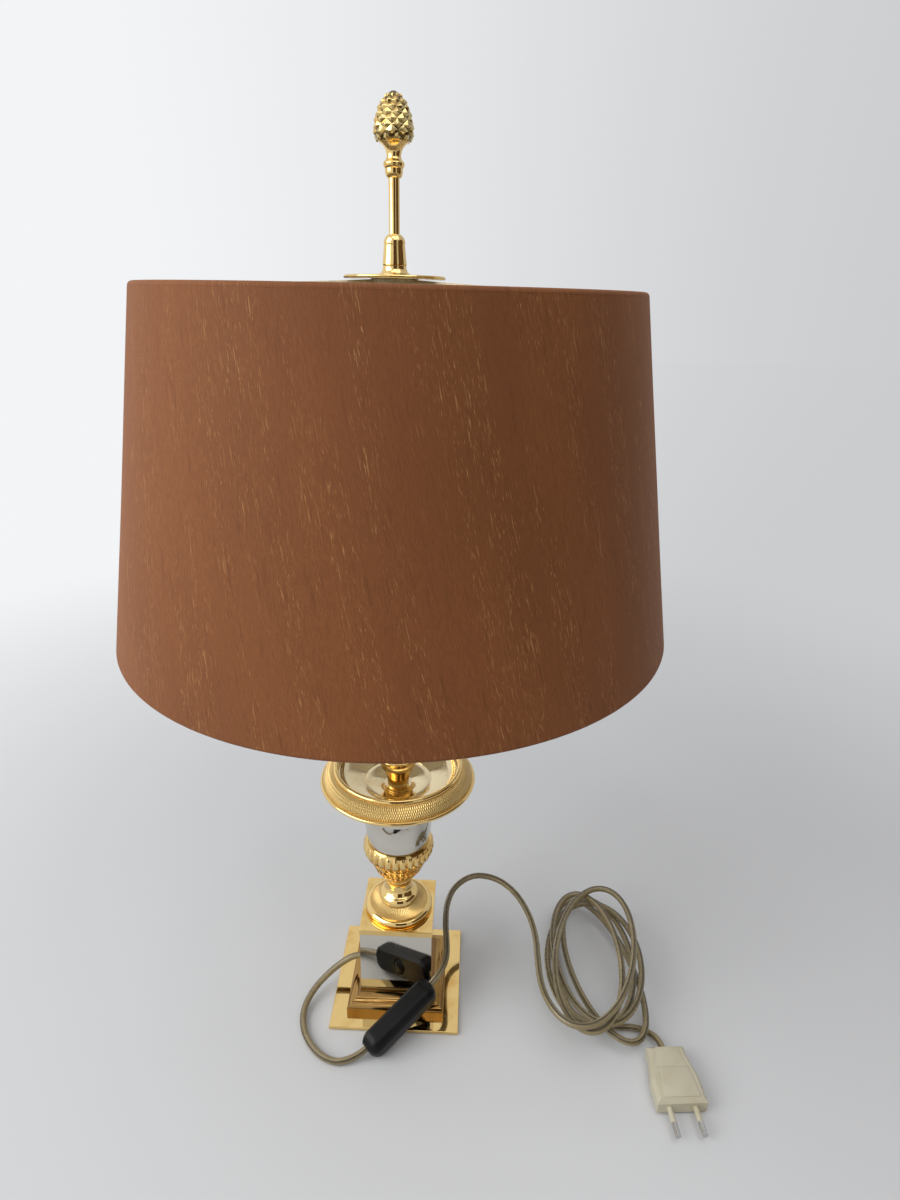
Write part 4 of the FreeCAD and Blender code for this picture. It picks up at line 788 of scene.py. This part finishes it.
def addPanel(name, panel):
    # A tapered plate, made by squeezing one end of a block
    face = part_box("plug_body")[1][2]
    tall = (panels["sunk"] + panel["proud"]) * mm
    clearPick()
    bpy.ops.mesh.primitive_cube_add(size=1)
    piece = named(name)
    for vertex in piece.data.vertices:
        nearEnd = vertex.co.x < 0
        vertex.co.y *= (panel["wideFrom"] if nearEnd else panel["wideTo"]) * mm
        vertex.co.x = (panel["from"] if nearEnd else panel["to"]) * mm
        vertex.co.z = (vertex.co.z - 0.5) * tall
    piece.location = (plug["x"] * mm, plug["y"] * mm, face + panel["proud"] * mm)
    piece.rotation_euler = (0, 0, math.radians(-plug["yaw"]))
    settle(piece)
    bevelled(piece, panels["round"], panels["roundSteps"])
    smooth(piece)
    setMaterial(piece, ivoryMaterial)
    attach(piece, "lamp")


addPanel("rearPlugPanel", panels["rear"])
addPanel("frontPlugPanel", panels["front"])
print("plug panels added")


# Floor, backdrop light, dark cards and lamps, in metres and watts
studio = {
    "floorSide": 14.0, "floorDrop": 0.0001,
    "floor": (0.61, 0.62, 0.635), "floorRough": 0.55,
    "farLeft": (0.9, 0.91, 0.925), "farRight": (0.6, 0.605, 0.62),
    "paleSide": -0.5, "dimSide": 0.55,
    "fadeFrom": 0.28, "fadeTo": 1.25,
    "light": 0.5,
    "dark": (0.12, 0.078, 0.046),
    "cards": {
        "frontCard": {"spot": (0.35, -1.5, 0.85), "wide": 0.95, "tall": 1.6, "turn": 0},
        "sideCard": {"spot": (1.35, -0.5, 0.7), "wide": 1.7, "tall": 1.3, "turn": 90},
    },
    "lamps": {
        "windowLight": {"spot": (-1.7, -0.9, 1.5), "target": (0, 0, 0.35), "size": 1.9, "power": 42},
        "softTop": {"spot": (0.4, -0.6, 2.1), "target": (0, 0, 0.2), "size": 1.6, "power": 12},
    },
}


def backdrop(tree, way):
    # Pale towards the left, where the window is, and greyer towards the right
    sideways = addNode(tree, "ShaderNodeSeparateXYZ", None, Vector=way).outputs[0]
    share = stepped(tree, sideways, studio["paleSide"], studio["dimSide"])
    return blendColor(tree, share, studio["farLeft"], studio["farRight"])


def directRays(tree):
    # 1 where the camera sees it, also in polished metal and through glass
    seen = addNode(tree, "ShaderNodeLightPath")
    direct = calc(tree, "MAXIMUM", seen.outputs["Is Camera Ray"], seen.outputs["Is Glossy Ray"])
    return calc(tree, "MAXIMUM", direct, seen.outputs["Is Transmission Ray"])


def addFloor():
    clearPick()
    bpy.ops.mesh.primitive_plane_add(size=studio["floorSide"], location=(0, 0, -studio["floorDrop"]))
    floor = settle(named("studioFloor"))
    material, tree, shader = startMaterial("paleFloor", Base_Color=studio["floor"],
                                           Roughness=studio["floorRough"], Specular_IOR_Level=0.2)
    where = place(tree)
    far = vectorCalc(tree, "LENGTH", where).outputs["Value"]
    share = stepped(tree, far, studio["fadeFrom"], studio["fadeTo"])
    share = calc(tree, "MULTIPLY", share, directRays(tree))
    way = vectorCalc(tree, "NORMALIZE", where).outputs[0]
    glow = addNode(tree, "ShaderNodeEmission", None, Color=backdrop(tree, way), Strength=1.0)
    mix = addNode(tree, "ShaderNodeMixShader", None, Fac=share)
    tree.links.new(shader.outputs[0], mix.inputs[1])
    tree.links.new(glow.outputs[0], mix.inputs[2])
    tree.links.new(mix.outputs[0], tree.nodes["Material Output"].inputs["Surface"])
    setMaterial(floor, material)


def addCard(name, look):
    # A dark screen that the camera doesn't see, for the polished metal to reflect
    clearPick()
    bpy.ops.mesh.primitive_plane_add(size=1, location=look["spot"],
                                     rotation=(math.radians(90), 0, math.radians(look["turn"])))
    card = named(name)
    card.scale = (look["wide"], look["tall"], 1)
    settle(card)
    material = startMaterial(name + "Felt", Base_Color=studio["dark"], Roughness=1.0,
                             Specular_IOR_Level=0.0)[0]
    setMaterial(card, material)
    card.visible_camera = False
    card.visible_transmission = False
    card.visible_shadow = False


def addWorld():
    world = bpy.data.worlds.new("studioWorld")
    bpy.context.scene.world = world
    world.use_nodes = True
    tree = world.node_tree
    direct = directRays(tree)
    far = backdrop(tree, addNode(tree, "ShaderNodeTexCoord").outputs["Generated"])
    strength = calc(tree, "MULTIPLY_ADD", direct, 1 - studio["light"], studio["light"])
    color = blendColor(tree, direct, (1, 1, 1), far)
    drive(tree, tree.nodes["Background"], Color=color, Strength=strength)


def addLamp(name, look):
    clearPick()
    bpy.ops.object.light_add(type="AREA", location=look["spot"])
    piece = named(name)
    piece.data.size = look["size"]
    piece.data.energy = look["power"]
    way = Vector(look["target"]) - Vector(look["spot"])
    piece.rotation_euler = way.to_track_quat("-Z", "Y").to_euler()


bpy.context.scene.view_settings.view_transform = "Standard"
addFloor()
addWorld()
for name, look in studio["cards"].items():
    addCard(name, look)
for name, look in studio["lamps"].items():
    addLamp(name, look)
print("studio ready")
